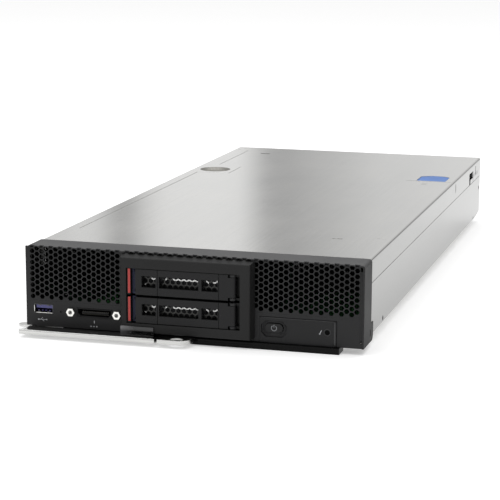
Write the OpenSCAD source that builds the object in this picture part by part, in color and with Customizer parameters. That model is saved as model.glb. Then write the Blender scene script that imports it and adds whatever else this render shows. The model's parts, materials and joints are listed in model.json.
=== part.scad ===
// Half-width blade server node: sheet-steel chassis, sliding cover, honeycomb front, two hot-swap
// drive trays, release lever, and the boards, processors, memory and rear connectors inside.
// Millimetres. X is to the right seen from the front, Y runs to the rear, Z is up.
// The origin is the middle of the chassis underside.

/* [Chassis] */
// Width of the front bezel
bezel_w = 215; // [205:1:235]
// Depth from the bezel's face to the rear of the chassis
body_d = 463; // [450:1:510]
// Height of the cover's top above the chassis underside
body_h = 48.5; // [48:0.5:56]
// Thickness of the chassis sheet
sheet_t = 1.2; // [0.8:0.1:1.6]
// Thickness of the cover sheet
cover_t = 1; // [0.6:0.1:1.4]
// How far the chassis side stands in from the bezel's left edge
left_inset = 2.4; // [1.8:0.2:4]
// How far the chassis side stands in from the bezel's right edge
right_inset = 0.3; // [0.1:0.1:2]
// Height of the lower edge of the cover's side flanges
seam_h = 33.8; // [30:0.5:38]
// Width of the lip folded inwards on top of the chassis walls
wall_lip_w = 3.6; // [2.5:0.1:4]
// Length of the ramp under the rear end
ramp_l = 22; // [15:1:35]
// Length of the level tail behind the ramp
tail_l = 3; // [2:0.5:6]
// Rise of the ramp
ramp_h = 3; // [2:0.5:4]
// Inner radius of the folded sheet
bend_r = 0.8; // [0.4:0.1:1.2]

/* [Bezel] */
// Thickness of the bezel sheet
bezel_t = 1.2; // [0.8:0.1:1.6]
// How far the bezel reaches below the chassis underside
bezel_drop = 2.3; // [1.8:0.1:2.6]
// Depth of the flanges folded back from the bezel
flange_d = 20; // [16:1:26]
// How far the top and right lips stand proud of the face
lip_proud = 0.8; // [0.4:0.1:1.2]
// Radius of the lips where they meet at the top right
corner_r = 2; // [1.3:0.1:2.5]
// Depth of the lower corner lugs behind the flanges
lug_d = 6; // [4:0.5:8]
// Height of the lower corner lugs
lug_h = 9; // [7:0.5:12]
// Depth of the foot folded under the chassis
foot_d = 12; // [11:0.5:16]

/* [Vents] */
// Distance between neighbouring vent holes
vent_pitch = 3.58; // [3.4:0.02:4]
// Width of a vent hole across its flats
vent_open = 2.8; // [2.4:0.05:3]
// Columns of holes in the left panel
left_columns = 19; // [10:1:19]
// Columns of holes in the right panel
right_columns = 21; // [10:1:21]
// Rows of holes in the left panel
left_rows = 9; // [5:1:9]
// Rows of holes in the right panel
right_rows = 9; // [5:1:9]
// Distance from a panel's side edge to the middle of its first column
vent_side = 1.7; // [1.7:0.1:2.2]
// Width of the plate's edge beside the vent panels
vent_margin = 0.4; // [0.4:0.1:1.6]
// Distance from the top of the cover down to the first whole hole
vent_top = 1.7; // [0.8:0.1:3]

/* [Drive bay] */
// Distance from the bezel's left edge to the drive block
block_x = 64.8; // [62.5:0.1:66]
// Thickness of the drive block's left bar
block_left = 3.7; // [3:0.1:6]
// Thickness of the drive block's right bar
block_right = 6.15; // [3:0.05:7]
// Height of the drive block's lower edge
block_z = -0.4; // [-1.2:0.1:1]
// How far the drive block stands out of the bezel
block_proud = 7; // [6:0.5:9]
// Height of the block's bar below the trays
block_sill = 5.75; // [5:0.05:7]
// Height of the block's bar above the trays
block_top = 6.3; // [3:0.1:6.5]
// How far the block's upper side and ends slope outwards
block_slope = 1.4; // [0.6:0.1:1.5]
// Width of a 2.5-inch drive
drive_w = 69.85; // [69.6:0.05:70.1]
// Length of a 2.5-inch drive
drive_l = 100.45; // [95:0.05:101]
// Height of a 2.5-inch drive
drive_h = 14.8; // [7:0.1:14.8]
// Height of a drive tray
tray_h = 15.9; // [15.8:0.1:16.2]
// Thickness of the tray's sheet
tray_t = 0.5; // [0.4:0.05:0.6]
// Running gap round a tray
tray_gap = 0.4; // [0.3:0.05:0.5]
// Thickness of the shelf between the trays
shelf_t = 0.75; // [0.4:0.05:0.8]
// Thickness of the drive cage sheet
cage_t = 1; // [0.8:0.1:1.2]
// How far the tray fronts stand behind the face of the block
tray_set_back = 0.5; // [0.3:0.1:1]
// Travel of a tray out of the bay
tray_travel = 100; // [60:1:105]

/* [Tray fronts] */
// Width of the coloured strip at a tray's left edge
strip_w = 2.2; // [1:0.1:2.4]
// Width of the recess that the latch slides into
recess_w = 3; // [2.6:0.1:4]
// Width of the latch
tray_latch_w = 13.9; // [13.4:0.1:15]
// Gap between latch and handle
tray_seam = 0.3; // [0.25:0.05:0.5]
// Travel of the latch
tray_latch_travel = 2.2; // [1:0.1:2.2]
// Thickness of handle and latch
front_t = 2.5; // [2:0.1:3]
// Height of the windows in handle and latch
window_h = 7; // [4:0.1:7.4]
// Length of the long window in the handle
long_window = 24.9; // [18:0.1:26]
// Length of the short window in the handle
short_window = 10.2; // [6:0.1:10.4]
// Length of the window in the latch
latch_window = 8.9; // [6:0.1:9.4]
// Radius of the knuckle at the handle's hinge
knuckle_r = 2.2; // [1.8:0.1:2.4]
// Radius of the handle's hinge pin
handle_pin_r = 0.8; // [0.6:0.1:1]
// Running clearance round a pin
pin_gap = 0.05; // [0.02:0.01:0.1]
// Distance between the holes of the tray's mesh
mesh_pitch = 3.5; // [3:0.1:4]
// Width of a mesh hole across its flats
mesh_open = 2.7; // [2:0.1:2.8]

/* [Sockets and panel] */
// Distance of the USB socket's middle from the bezel's left edge
usb_x = 11.5; // [10.4:0.1:12]
// Height of the console connector's middle
socket_z = 8; // [7.4:0.1:8.2]
// Width of the USB shell
usb_w = 12.6; // [12:0.1:13.2]
// Height of the USB shell
usb_h = 5.6; // [5:0.1:5.8]
// Distance of the console connector's middle from the bezel's left edge
console_x = 45; // [42:0.1:45.4]
// Width of the console connector
console_w = 23.2; // [20:0.1:23.4]
// Height of the console connector
console_h = 5.6; // [4.5:0.1:5.8]
// Distance between the jackscrews
jack_spacing = 30.2; // [29.4:0.1:31]
// Width of a jackscrew across its flats
jack_af = 4.8; // [4:0.1:5]
// Radius of the thread core in a jackscrew
jack_bore_r = 1.25; // [1:0.05:1.4]
// How far the jackscrews stand out of the bezel
jack_proud = 2.4; // [1:0.1:4]
// Distance of the control panel from the bezel's right edge
panel_right = 16.8; // [14:0.1:18]
// Width of the control panel
panel_w = 47.4; // [44:0.1:48]
// Height of the control panel
panel_h = 15.8; // [15:0.1:16.2]
// Length of the power button
button_l = 11; // [9:0.1:12]
// Height of the power button
button_h = 5.5; // [5:0.1:6]
// Travel of the power button
button_travel = 0.8; // [0.4:0.1:1]
// Radius of the status lens
lens_r = 1.5; // [1:0.1:2]

/* [Release lever] */
// Thickness of the lever plate
lever_t = 1.2; // [1:0.1:1.5]
// Gap between the bezel's lower edge and the lever
lever_gap = 0.3; // [0.3:0.05:0.6]
// How far the lever reaches in front of the bezel
lever_reach = 17.5; // [15:0.5:22]
// Height of the lever's folded lip
lever_lip_h = 2.9; // [2.5:0.1:4]
// Distance of the lever's left end from the bezel's left edge
lever_left = 2; // [1:0.1:4]
// Distance of the arm's right end from the bezel's left edge
lever_arm_end = 89.5; // [80:0.5:92]
// Distance of the pivot from the bezel's left edge
pivot_x = 9; // [8:0.5:12]
// Distance of the pivot behind the bezel's face
pivot_d = 3.5; // [3.2:0.1:4.2]
// Radius of the pivot rivet
pivot_r = 2; // [1.5:0.1:2.5]
// Radius of the lever's hub
hub_r = 6; // [5:0.1:6.5]
// How far the cam ear stands out to the left of the bezel
ear_out = 6.5; // [4:0.5:8]
// Width of the cam ear
ear_w = 7; // [5:0.5:8]
// Gap between the arm and the release tab
tab_gap = 1.8; // [1.8:0.1:3]
// Length of the release tab
tab_l = 19.7; // [17:0.1:20]
// Travel of the release tab
tab_travel = 1.5; // [0.5:0.1:1.5]
// Radius of the finger hole in the tab
finger_r = 4.5; // [3.5:0.1:4.8]
// Height of the rail under the bezel
rail_h = 3.8; // [3.6:0.1:4.4]
// Thickness of the rail's floor
rail_t = 1.6; // [1:0.1:1.7]
// Distance of the rail's right end from the bezel's left edge
rail_end = 200.5; // [180:0.5:204]

/* [Cover] */
// Travel of the cover when it is slid open
cover_travel = 14; // [8:1:15]
// Radius of the thumb recess
thumb_r = 12; // [9:0.5:12]
// Depth of the thumb recess
thumb_depth = 2.2; // [1:0.1:2.4]
// Width of the release pad
pad_w = 22; // [16:0.5:24]
// Length of the release pad
pad_l = 25.9; // [20:0.1:28]
// Travel of the release pad
pad_travel = 1.5; // [0.8:0.1:1.6]
// Width of the lines pressed into the cover
groove_w = 0.6; // [0.4:0.1:1]
// Depth of the lines pressed into the cover
groove_depth = 0.35; // [0.2:0.05:0.4]

/* [Inside] */
// Height of the system board's underside above the chassis floor
board_rise = 3.8; // [3:0.1:4.5]
// Thickness of the circuit boards
board_t = 1.6; // [1.2:0.1:1.8]
// Distance between neighbouring memory modules
memory_pitch = 8; // [7.6:0.1:8.2]
// Memory modules in each bank
memory_count = 6; // [2:1:6]
// Length of a memory module
memory_l = 133.35; // [120:0.05:134]
// Height of a memory module
memory_h = 31.25; // [18:0.05:31.25]
// Width of a heatsink
sink_w = 78; // [70:1:84]
// Length of a heatsink
sink_l = 108; // [80:1:110]
// Fins on a heatsink
sink_fins = 27; // [9:2:31]
// Thickness of a fin
fin_t = 0.6; // [0.4:0.1:0.9]
// How far the rear connectors stand out of the rear panel
rear_proud = 10; // [6:0.5:12]
// Inner radius of the rear guide sockets
guide_r = 4; // [3:0.1:4.5]
// Length of the rear guide sockets
guide_l = 21; // [16:0.5:24]

/* [Hidden] */

$fn = 48;
fit = 0.3;          // clearance between pieces that move past each other
touch = 0.1;        // clearance between pieces that are fixed together
eps = 0.01;         // overlap of a cut past a face
hex_cos = cos(30);

// places measured from the bezel's left edge and from its face
function lx(d) = -bezel_w / 2 + d;
function fy(d) = -body_d / 2 + d;

front_y = fy(0);
rear_y = fy(body_d);
left_x = lx(left_inset);
right_x = lx(bezel_w - right_inset);
cover_under = body_h - cover_t;
wall_top = cover_under - fit;
joggle = cover_t + fit;
wall_front = fy(flange_d + fit);
inner_left = left_x + joggle + sheet_t;
inner_right = right_x - joggle - sheet_t;

// ---- shared shapes ----

module block(x0, x1, y0, y1, z0, z1) translate([x0, y0, z0]) cube([x1 - x0, y1 - y0, z1 - z0]);

// a flat outline drawn in (y, z), from x0 to x1
module along_x(x0, x1) translate([x0, 0, 0]) rotate([90, 0, 90]) linear_extrude(x1 - x0) children();

// a flat outline drawn in (x, z), from y0 to y1
module along_y(y0, y1) translate([0, y1, 0]) rotate([90, 0, 0]) linear_extrude(y1 - y0) children();

// a flat outline drawn in (x, y), from z0 to z1
module along_z(z0, z1) translate([0, 0, z0]) linear_extrude(z1 - z0) children();

module rect(x0, x1, y0, y1) translate([x0, y0]) square([x1 - x0, y1 - y0]);

module round_rect(x0, x1, y0, y1, r) {
  rect(x0 + r, x1 - r, y0, y1);
  rect(x0, x1, y0 + r, y1 - r);
  for (x = [x0 + r, x1 - r]) for (y = [y0 + r, y1 - r]) translate([x, y]) circle(r);
}

// a slot with round ends, centred on (x, y)
module slot(x, y, l, h) {
  rect(x - l / 2 + h / 2, x + l / 2 - h / 2, y - h / 2, y + h / 2);
  for (s = [-1, 1]) translate([x + s * (l - h) / 2, y]) circle(h / 2);
}

module octagon_well(x, y, l, h, cut) polygon([
  [x - l / 2, y - h / 2 + cut], [x - l / 2 + cut, y - h / 2], [x + l / 2 - cut, y - h / 2],
  [x + l / 2, y - h / 2 + cut], [x + l / 2, y + h / 2 - cut], [x + l / 2 - cut, y + h / 2],
  [x - l / 2 + cut, y + h / 2], [x - l / 2, y + h / 2 - cut]
]);

// points of an arc, for folded sheet
function arc(x, y, r, a0, a1, n = 4) =
  [for (i = [0 : n]) [x + r * cos(a0 + (a1 - a0) * i / n), y + r * sin(a0 + (a1 - a0) * i / n)]];

// honeycomb of hexagonal holes: columns run up, and the low ones, every other, sit half a pitch
// lower; low is 1 when those are the second, fourth and so on, and 0 when the first is one of them
module honeycomb(x0, z_top, columns, high_rows, low_rows, low, pitch, open) {
  for (c = [0 : columns - 1])
    for (r = [0 : (c % 2 == low ? low_rows : high_rows) - 1])
      translate([x0 + c * pitch * hex_cos, z_top - (r + (c % 2 == low ? 0.5 : 0)) * pitch])
        circle(open / 2 / hex_cos, $fn = 6);
}

// ---- chassis ----

// folded section of the chassis: floor, lower walls, joggle, upper walls, lips
module tray_section() {
  xo = left_x; xi = right_x; t = sheet_t; j = joggle; w = wall_lip_w; r = bend_r + t;
  polygon(concat(
    arc(xo + r, r, r, 270, 180), [[xo, seam_h - fit], [xo + j, seam_h - fit]],
    [[xo + j, wall_top], [xo + j + t + w, wall_top], [xo + j + t + w, wall_top - t],
     [xo + j + t, wall_top - t], [xo + j + t, seam_h - fit - t], [xo + t, seam_h - fit - t]],
    arc(xo + r, r, bend_r, 180, 270), arc(xi - r, r, bend_r, 270, 360),
    [[xi - t, seam_h - fit - t], [xi - j - t, seam_h - fit - t], [xi - j - t, wall_top - t],
     [xi - j - t - w, wall_top - t], [xi - j - t - w, wall_top], [xi - j, wall_top],
     [xi - j, seam_h - fit], [xi, seam_h - fit]],
    arc(xi - r, r, r, 360, 270)
  ));
}

ramp_y0 = rear_y - tail_l - ramp_l;
ramp_y1 = rear_y - tail_l;
notch_r = 1.5;
notches = [[fy(56.7), 3.8], [ramp_y0 - 7, 2.1]];
side_hole_d = 5.4;
side_hole_z = 24;
side_hole_r = 1.6;

module chassis_tray() {
  color("Gainsboro") {
    difference() {
      along_y(wall_front, rear_y) tray_section();
      // the ramp under the rear end
      along_x(left_x - eps, right_x + eps)
        polygon([[ramp_y0, -eps], [rear_y + eps, -eps], [rear_y + eps, ramp_h], [ramp_y1, ramp_h],
                 [ramp_y0, 0]]);
      // the floor ends where the ramp plate starts
      block(left_x + sheet_t, right_x - sheet_t, ramp_y0, rear_y + eps, -eps, ramp_h + 2 * sheet_t);
      // room for the bezel's corner lugs
      for (x = [left_x - eps, right_x - sheet_t - eps])
        block(x, x + sheet_t + 2 * eps, wall_front - eps, wall_front + lug_d + touch, -eps, lug_h + touch);
      // small round windows in the side walls
      for (p = notches)
        along_x(left_x - eps, right_x + eps) translate(p) circle(notch_r);
      along_x(left_x - eps, right_x + eps)
        translate([rear_y - side_hole_d, side_hole_z]) circle(side_hole_r);
    }
    // ramp plate between the walls
    along_x(left_x + sheet_t, right_x - sheet_t)
      polygon([[ramp_y0, 0], [ramp_y1, ramp_h], [rear_y, ramp_h], [rear_y, ramp_h + sheet_t],
               [ramp_y1 - sheet_t / 2, ramp_h + sheet_t], [ramp_y0, sheet_t]]);
    // front floor between the bezel's flanges, clear of the foot and of the control panel's back
    difference() {
      block(left_x + bezel_t + fit, lx(bezel_w) - bezel_t - fit, fy(bezel_t), wall_front, 0, sheet_t);
      block(left_x, lx(bezel_w), front_y, fy(foot_d + 0.5), -eps, touch);
      panel_room(-eps, sheet_t + eps);
    }
  }
}

exhaust_pitch = 5;
exhaust_open = 3.8;
exhaust_rows = 3;
exhaust_columns = floor((inner_right - inner_left - 12) / (exhaust_pitch * hex_cos));

// connector places on the rear panel
rear_cy = 18;
signal_w = 50;
signal_h = 19;
signal_x = [lx(46), lx(bezel_w - 46)];
power_w = 26;
power_h = 16;
guide_w = 12;
guide_h = 15;
guide_x = [lx(12.5), lx(bezel_w - 12.5)];
board_top = sheet_t + board_rise + board_t;
rear_seat = board_top + 0.4;

module rear_panel() color("Silver")
  along_y(rear_y - sheet_t, rear_y) difference() {
    rect(inner_left + touch, inner_right - touch, ramp_h + sheet_t, wall_top - sheet_t - touch);
    for (x = signal_x) rect(x - signal_w / 2 - touch, x + signal_w / 2 + touch,
                            rear_seat - touch, rear_seat + signal_h + touch);
    rect(-power_w / 2 - touch, power_w / 2 + touch, rear_seat - touch, rear_seat + power_h + touch);
    for (x = guide_x) rect(x - guide_w / 2 - touch, x + guide_w / 2 + touch,
                           rear_seat - touch, rear_seat + guide_h + touch);
    honeycomb(inner_left + 8, wall_top - sheet_t - 3.4, exhaust_columns, exhaust_rows,
              exhaust_rows - 1, 1, exhaust_pitch, exhaust_open);
  }

// ---- cover ----

cover_front = fy(flange_d + touch);
thumb_x = lx(left_inset + joggle + sheet_t + wall_lip_w + 0.3 + thumb_r);
thumb_y = fy(333);
pad_y = fy(325.6);
pad_flange = 0.8;
pad_x = inner_right - wall_lip_w - fit - pad_flange - pad_w / 2;
pin_y = fy(421);
pin_z = 40.2;
pin_r = 2.4;
slot_l = 2 * (pin_r + fit) + cover_travel + 16;
slot_h = 2 * (pin_r + fit);
tongue_l = 8;

module cover_section() {
  r = bend_r + cover_t;
  polygon(concat(
    [[left_x, seam_h]], arc(left_x + r, body_h - r, r, 180, 90),
    arc(right_x - r, body_h - r, r, 90, 0), [[right_x, seam_h], [right_x - cover_t, seam_h]],
    arc(right_x - r, body_h - r, bend_r, 0, 90), arc(left_x + r, body_h - r, bend_r, 90, 180),
    [[left_x + cover_t, seam_h]]
  ));
}

// the D-shaped outline of the release pad: straight in front, curved behind
module pad_outline(grow) {
  intersection() {
    rect(pad_x - pad_w / 2 - grow, pad_x + pad_w / 2 + grow, pad_y - grow, pad_y + pad_l + grow);
    translate([pad_x, pad_y + pad_l - pad_w * 0.62]) circle(pad_w * 0.62 + grow);
  }
  rect(pad_x - pad_w / 2 - grow, pad_x + pad_w / 2 + grow, pad_y - grow,
       pad_y + pad_l - pad_w * 0.62);
}

// a straight line pressed into the top of the cover
module groove(x0, x1, y0, y1) block(x0, x1, y0, y1, body_h - groove_depth, body_h + eps);

strip_line_x = thumb_x - 9.5;
flap_x = thumb_x + 15.8;

module top_cover() color("LightGray") {
  difference() {
    along_y(cover_front, rear_y) cover_section();
    // thumb recess and release pad windows
    translate([thumb_x, thumb_y, cover_under - eps]) cylinder(h = cover_t + 2 * eps, r = thumb_r);
    along_z(cover_under - eps, body_h + eps) pad_outline(fit);
    // T-shaped slots round the guide pins, open to the lower edge for lifting off
    for (x = [left_x - eps, right_x - cover_t - eps])
      translate([x, 0, 0]) {
        block(0, cover_t + 2 * eps, pin_y - cover_travel - pin_r - fit - 1, pin_y + pin_r + fit,
              pin_z - slot_h / 2, pin_z + slot_h / 2);
        block(0, cover_t + 2 * eps, pin_y - cover_travel - pin_r - fit,
              pin_y - cover_travel + pin_r + fit, seam_h - eps, pin_z);
        block(0, cover_t + 2 * eps, pin_y + 15, pin_y + 17, pin_z - 2.2, pin_z + 4.8);
        // upright slot in the middle of the flange
        block(0, cover_t + 2 * eps, fy(332), fy(333.4), seam_h + 5.2, seam_h + 11.9);
      }
    // lanced slots in the top
    block(lx(31.5), lx(39.7), fy(429), fy(430.6), cover_under - eps, body_h + eps);
    block(lx(177.4), lx(183.6), fy(75.7), fy(77.3), cover_under - eps, body_h + eps);
    groove(lx(203.5), lx(209.8), fy(84.1), fy(84.7));
    // pressed lines beside the thumb recess
    groove(strip_line_x, strip_line_x + groove_w, fy(62), fy(315));
    groove(strip_line_x, flap_x, fy(315.6), fy(315.6) + groove_w);
    groove(flap_x, flap_x + groove_w, fy(315.6), fy(351));
    groove(strip_line_x + 5, strip_line_x + 5 + groove_w, fy(359), fy(443));
    groove(pad_x - 15.8, pad_x + 1.5, pad_y - 4.9, pad_y - 4.9 + groove_w);
  }
  // front tongue that slides under the bezel's top flange
  along_x(lx(14), lx(bezel_w - 14)) polygon([
    [cover_front - tongue_l, wall_top - 1.2], [cover_front - tongue_l, wall_top - 0.3],
    [cover_front + 0.4, wall_top - 0.3], [cover_front + 0.4, cover_under],
    [cover_front + 2, cover_under], [cover_front + 2, wall_top - 1.2]
  ]);
}

module thumb_recess() color("DarkGray")
  translate([thumb_x, thumb_y, 0]) rotate_extrude() polygon([
    [0, body_h - thumb_depth], [thumb_r - 1.4, body_h - thumb_depth], [thumb_r - 0.05, body_h - 0.2],
    [thumb_r - 0.05, cover_under - 0.2], [thumb_r - 1.9, body_h - thumb_depth - 0.8],
    [0, body_h - thumb_depth - 0.8]
  ]);

pad_plate = 1;

module cover_latch() color("RoyalBlue") {
  along_z(cover_under - fit - pad_plate, body_h - 0.25) pad_outline(0);
  along_z(cover_under - fit - pad_plate, cover_under - fit) pad_outline(pad_flange);
}

spring_t = 0.3;
spring_foot = cover_under;
spring_end = cover_under - fit - pad_plate - touch;

// leaf spring: fixed to the cover in front of the pad, its free end under the pad
module cover_latch_spring() color("Silver")
  along_x(pad_x - 3, pad_x + 3) polygon([
    [pad_y - 14, spring_foot], [pad_y - 8, spring_foot],
    [pad_y - 2, spring_end], [pad_y + 16, spring_end],
    [pad_y + 16, spring_end - spring_t], [pad_y - 2.2, spring_end - spring_t],
    [pad_y - 8.3, spring_foot - spring_t], [pad_y - 14, spring_foot - spring_t]
  ]);

// guide pins on both chassis walls
module cover_pins() color("Silver") for (s = [-1, 1]) {
  wall = s < 0 ? left_x + joggle : right_x - joggle;
  translate([wall, pin_y, pin_z]) rotate([0, s * 90, 0]) cylinder(h = joggle - 0.15, r = pin_r);
}

// ---- bezel ----

bezel_top = body_h;
flange_under = body_h - bezel_t;
plate_right = bezel_w - corner_r - 0.6;
vent_column = vent_pitch * hex_cos;
left_vent_w = (left_columns - 1) * vent_column + 2 * vent_side;
right_vent_w = (right_columns - 1) * vent_column + 2 * vent_side;
left_vent_x = [left_inset + vent_margin, left_inset + vent_margin + left_vent_w];
right_vent_x = [plate_right - vent_margin - right_vent_w, plate_right - vent_margin];
top_row_z = body_h - vent_top;
left_vent_z = top_row_z - (left_rows - 0.5) * vent_pitch - vent_open / 2 - 1;
right_vent_z = top_row_z - (right_rows - 1) * vent_pitch - vent_open / 2 - 1;

// tray and bay sizes
tray_w = drive_w + 2 * tray_t;
bay_x0 = block_x + block_left;
bay_w = tray_w + 2 * tray_gap;
bay_x1 = bay_x0 + bay_w;
block_w = block_left + bay_w + block_right;
bay_z0 = block_z + block_sill;
bay_h = 2 * tray_h + shelf_t + 4 * tray_gap;
tray_pitch = tray_h + 2 * tray_gap + shelf_t;
block_h = block_sill + bay_h + block_top;

panel_x0 = bezel_w - panel_right - panel_w;
panel_x1 = bezel_w - panel_right;
panel_z = -bezel_drop;
jacks = [console_x - jack_spacing / 2, console_x + jack_spacing / 2];
usb_z = socket_z + 0.8;
pinhole_x = 22.8;
pinhole_r = 0.5;

module bezel_openings() {
  rect(lx(bay_x0), lx(bay_x1), bay_z0, bay_z0 + bay_h);
  rect(lx(left_vent_x[0]), lx(left_vent_x[1]), left_vent_z, flange_under);
  rect(lx(right_vent_x[0]), lx(right_vent_x[1]), right_vent_z, flange_under);
  rect(lx(panel_x0) - touch, lx(panel_x1) + touch, panel_z - touch, panel_z + panel_h + touch);
  rect(lx(usb_x - usb_w / 2) - touch, lx(usb_x + usb_w / 2) + touch,
       usb_z - usb_h / 2 - touch, usb_z + usb_h / 2 + touch);
  rect(lx(console_x - console_w / 2) - touch, lx(console_x + console_w / 2) + touch,
       socket_z - console_h / 2 - touch, socket_z + console_h / 2 + touch);
  for (x = jacks) translate([lx(x), socket_z]) circle(jack_bore_r + 0.75);
  translate([lx(pinhole_x), socket_z - 0.6]) circle(pinhole_r);
}

edge_first = left_vent_x[0] + vent_side + (left_columns + left_columns % 2) * vent_column;
edge_last = right_vent_x[0] + vent_side - vent_column;
edge_columns = floor((edge_last - edge_first) / vent_column) + 1;

// the uppermost holes, which bite into the folded edge above the panels and above the drive block
module edge_holes() {
  for (row = [[left_vent_x[0] + vent_side, left_columns], [edge_first, edge_columns],
              [right_vent_x[0] + vent_side, right_columns]])
    for (c = [0 : row[1] - 1])
      translate([lx(row[0]) + c * vent_column, top_row_z + (1 - c % 2) * vent_pitch / 2])
        circle(vent_open / 2 / hex_cos, $fn = 6);
}

module bezel() color("DimGray") {
  difference() {
    union() {
      // face
      along_y(front_y, front_y + bezel_t) difference() {
        rect(lx(0), lx(plate_right), -bezel_drop, flange_under + bezel_t / 2);
        bezel_openings();
      }
      // top and right flanges, one folded strip with a rounded corner
      along_y(front_y - lip_proud, fy(flange_d)) polygon(concat(
        [[lx(left_inset), body_h]],
        arc(lx(bezel_w) - corner_r, body_h - corner_r, corner_r, 90, 0),
        [[lx(bezel_w), -bezel_drop], [lx(bezel_w - bezel_t), -bezel_drop]],
        arc(lx(bezel_w) - corner_r, body_h - corner_r, corner_r - bezel_t, 0, 90),
        [[lx(left_inset), flange_under]]
      ));
      // left flange
      block(lx(left_inset), lx(left_inset + bezel_t), front_y + bezel_t, fy(flange_d), -bezel_drop,
            flange_under + bezel_t / 2);
      // corner lugs
      for (x = [lx(left_inset), lx(bezel_w - bezel_t)]) along_x(x, x + bezel_t)
        polygon([[fy(14), -bezel_drop], [fy(flange_d + lug_d - 2), -bezel_drop],
                 [fy(flange_d + lug_d), 0.6], [fy(flange_d + lug_d), lug_h], [fy(14), lug_h]]);
    }
    along_y(front_y - lip_proud - eps, front_y + bezel_t) edge_holes();
    // slots in the corner lugs
    along_x(lx(left_inset) - eps, lx(bezel_w) + eps) rect(fy(flange_d - 3), fy(flange_d - 1.6), 1.4, 5.4);
  }
  // ribs that tie the right flange to the face
  for (z = [-bezel_drop, right_vent_z - 4])
    block(lx(plate_right), lx(bezel_w - bezel_t), front_y, front_y + bezel_t, z, z + 3);
  // foot folded under the chassis floor
  difference() {
    block(lx(left_inset + bezel_t), lx(bezel_w - bezel_t), front_y + bezel_t, fy(foot_d), -bezel_t, 0);
    panel_room(-bezel_t - eps, eps);
  }
}

// room for the back of the control panel, which reaches down to the bezel's lower edge
module panel_room(z0, z1)
  block(lx(panel_x0) - touch, lx(panel_x1) + touch, front_y, fy(panel_back) + touch, z0, z1);

module vent_panel(x, z, columns, high_rows, low_rows) color("DimGray")
  along_y(front_y, front_y + bezel_t) difference() {
    rect(lx(x[0]), lx(x[1]), z, flange_under);
    honeycomb(lx(x[0] + vent_side), top_row_z, columns, high_rows, low_rows, 0, vent_pitch, vent_open);
  }

module left_grille() vent_panel(left_vent_x, left_vent_z, left_columns, left_rows, left_rows);
module right_grille() vent_panel(right_vent_x, right_vent_z, right_columns, right_rows, right_rows - 1);

// ---- drive bay ----

block_edge = 0.5;
block_crest = min(block_z + block_h + block_slope, flange_under - touch);

// a frame round the two trays, its upper side and ends sloping out towards the bezel
module drive_bezel() color("DimGray") difference() {
  intersection() {
    along_x(lx(block_x - block_slope), lx(block_x + block_w + block_slope)) polygon([
      [front_y, block_z], [fy(block_edge - block_proud), block_z],
      [fy(-block_proud), block_z + block_edge], [fy(-block_proud), block_z + block_h - block_edge],
      [fy(block_edge - block_proud), block_z + block_h], [front_y, block_crest]
    ]);
    along_z(block_z - 1, block_crest + 1) polygon([
      [lx(block_x - block_slope), front_y], [lx(block_x), fy(block_edge - block_proud)],
      [lx(block_x + block_edge), fy(-block_proud)],
      [lx(block_x + block_w - block_edge), fy(-block_proud)],
      [lx(block_x + block_w), fy(block_edge - block_proud)],
      [lx(block_x + block_w + block_slope), front_y]
    ]);
  }
  block(lx(bay_x0), lx(bay_x1), fy(-block_proud) - eps, front_y + eps, bay_z0, bay_z0 + bay_h);
}

nameplate_w = 21.2;
nameplate_h = 5.9;
nameplate_t = 1;

module nameplate() color("Black")
  along_y(fy(-block_proud - nameplate_t), fy(-block_proud))
    round_rect(lx(block_x - 0.1), lx(block_x - 0.1 + nameplate_w), -bezel_drop,
               nameplate_h - bezel_drop, 0.4);

cage_front = fy(bezel_t + touch);
drive_front = fy(1.4);
backplane_y = drive_front + drive_l + 7.4;
cage_rear = backplane_y - touch;

module drive_cage() color("Silver") along_y(cage_front, cage_rear) {
  for (x = [lx(bay_x0) - cage_t, lx(bay_x1)]) rect(x, x + cage_t, sheet_t, bay_z0 + bay_h + cage_t);
  for (z = [bay_z0 - cage_t, bay_z0 + bay_h]) rect(lx(bay_x0) - cage_t, lx(bay_x1) + cage_t, z, z + cage_t);
  rect(lx(bay_x0), lx(bay_x1), bay_z0 + tray_h + 2 * tray_gap, bay_z0 + tray_h + 2 * tray_gap + shelf_t);
  for (s = [0, 1])
    translate([s == 0 ? lx(bay_x0) - cage_t - 5 : lx(bay_x1) + cage_t, sheet_t]) square([5, cage_t]);
}

plug_w = 42;
plug_h = 6;
function tray_z(i) = bay_z0 + tray_gap + i * tray_pitch;
bay_mid = lx((bay_x0 + bay_x1) / 2);

module drive_backplane() color("DarkGreen")
  along_y(backplane_y, backplane_y + board_t) difference() {
    rect(lx(bay_x0) - 2, lx(bay_x1) + 2, sheet_t + 4.5, bay_z0 + bay_h + 0.8);
    for (i = [0, 1]) for (s = [-1, 1])
      slot(bay_mid + s * 28, tray_z(i) + tray_h / 2, 9, 5);
  }

module backplane_connectors() color("Black") for (i = [0, 1])
  difference() {
    z = tray_z(i) + tray_t + 0.6;
    block(bay_mid - plug_w / 2, bay_mid + plug_w / 2, drive_front + drive_l + fit, backplane_y, z, z + plug_h);
    block(bay_mid - plug_w / 2 + 3, bay_mid + plug_w / 2 - 3, drive_front + drive_l, backplane_y - 2,
          z + 2, z + plug_h - 2);
  }

// ---- one drive tray ----

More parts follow.
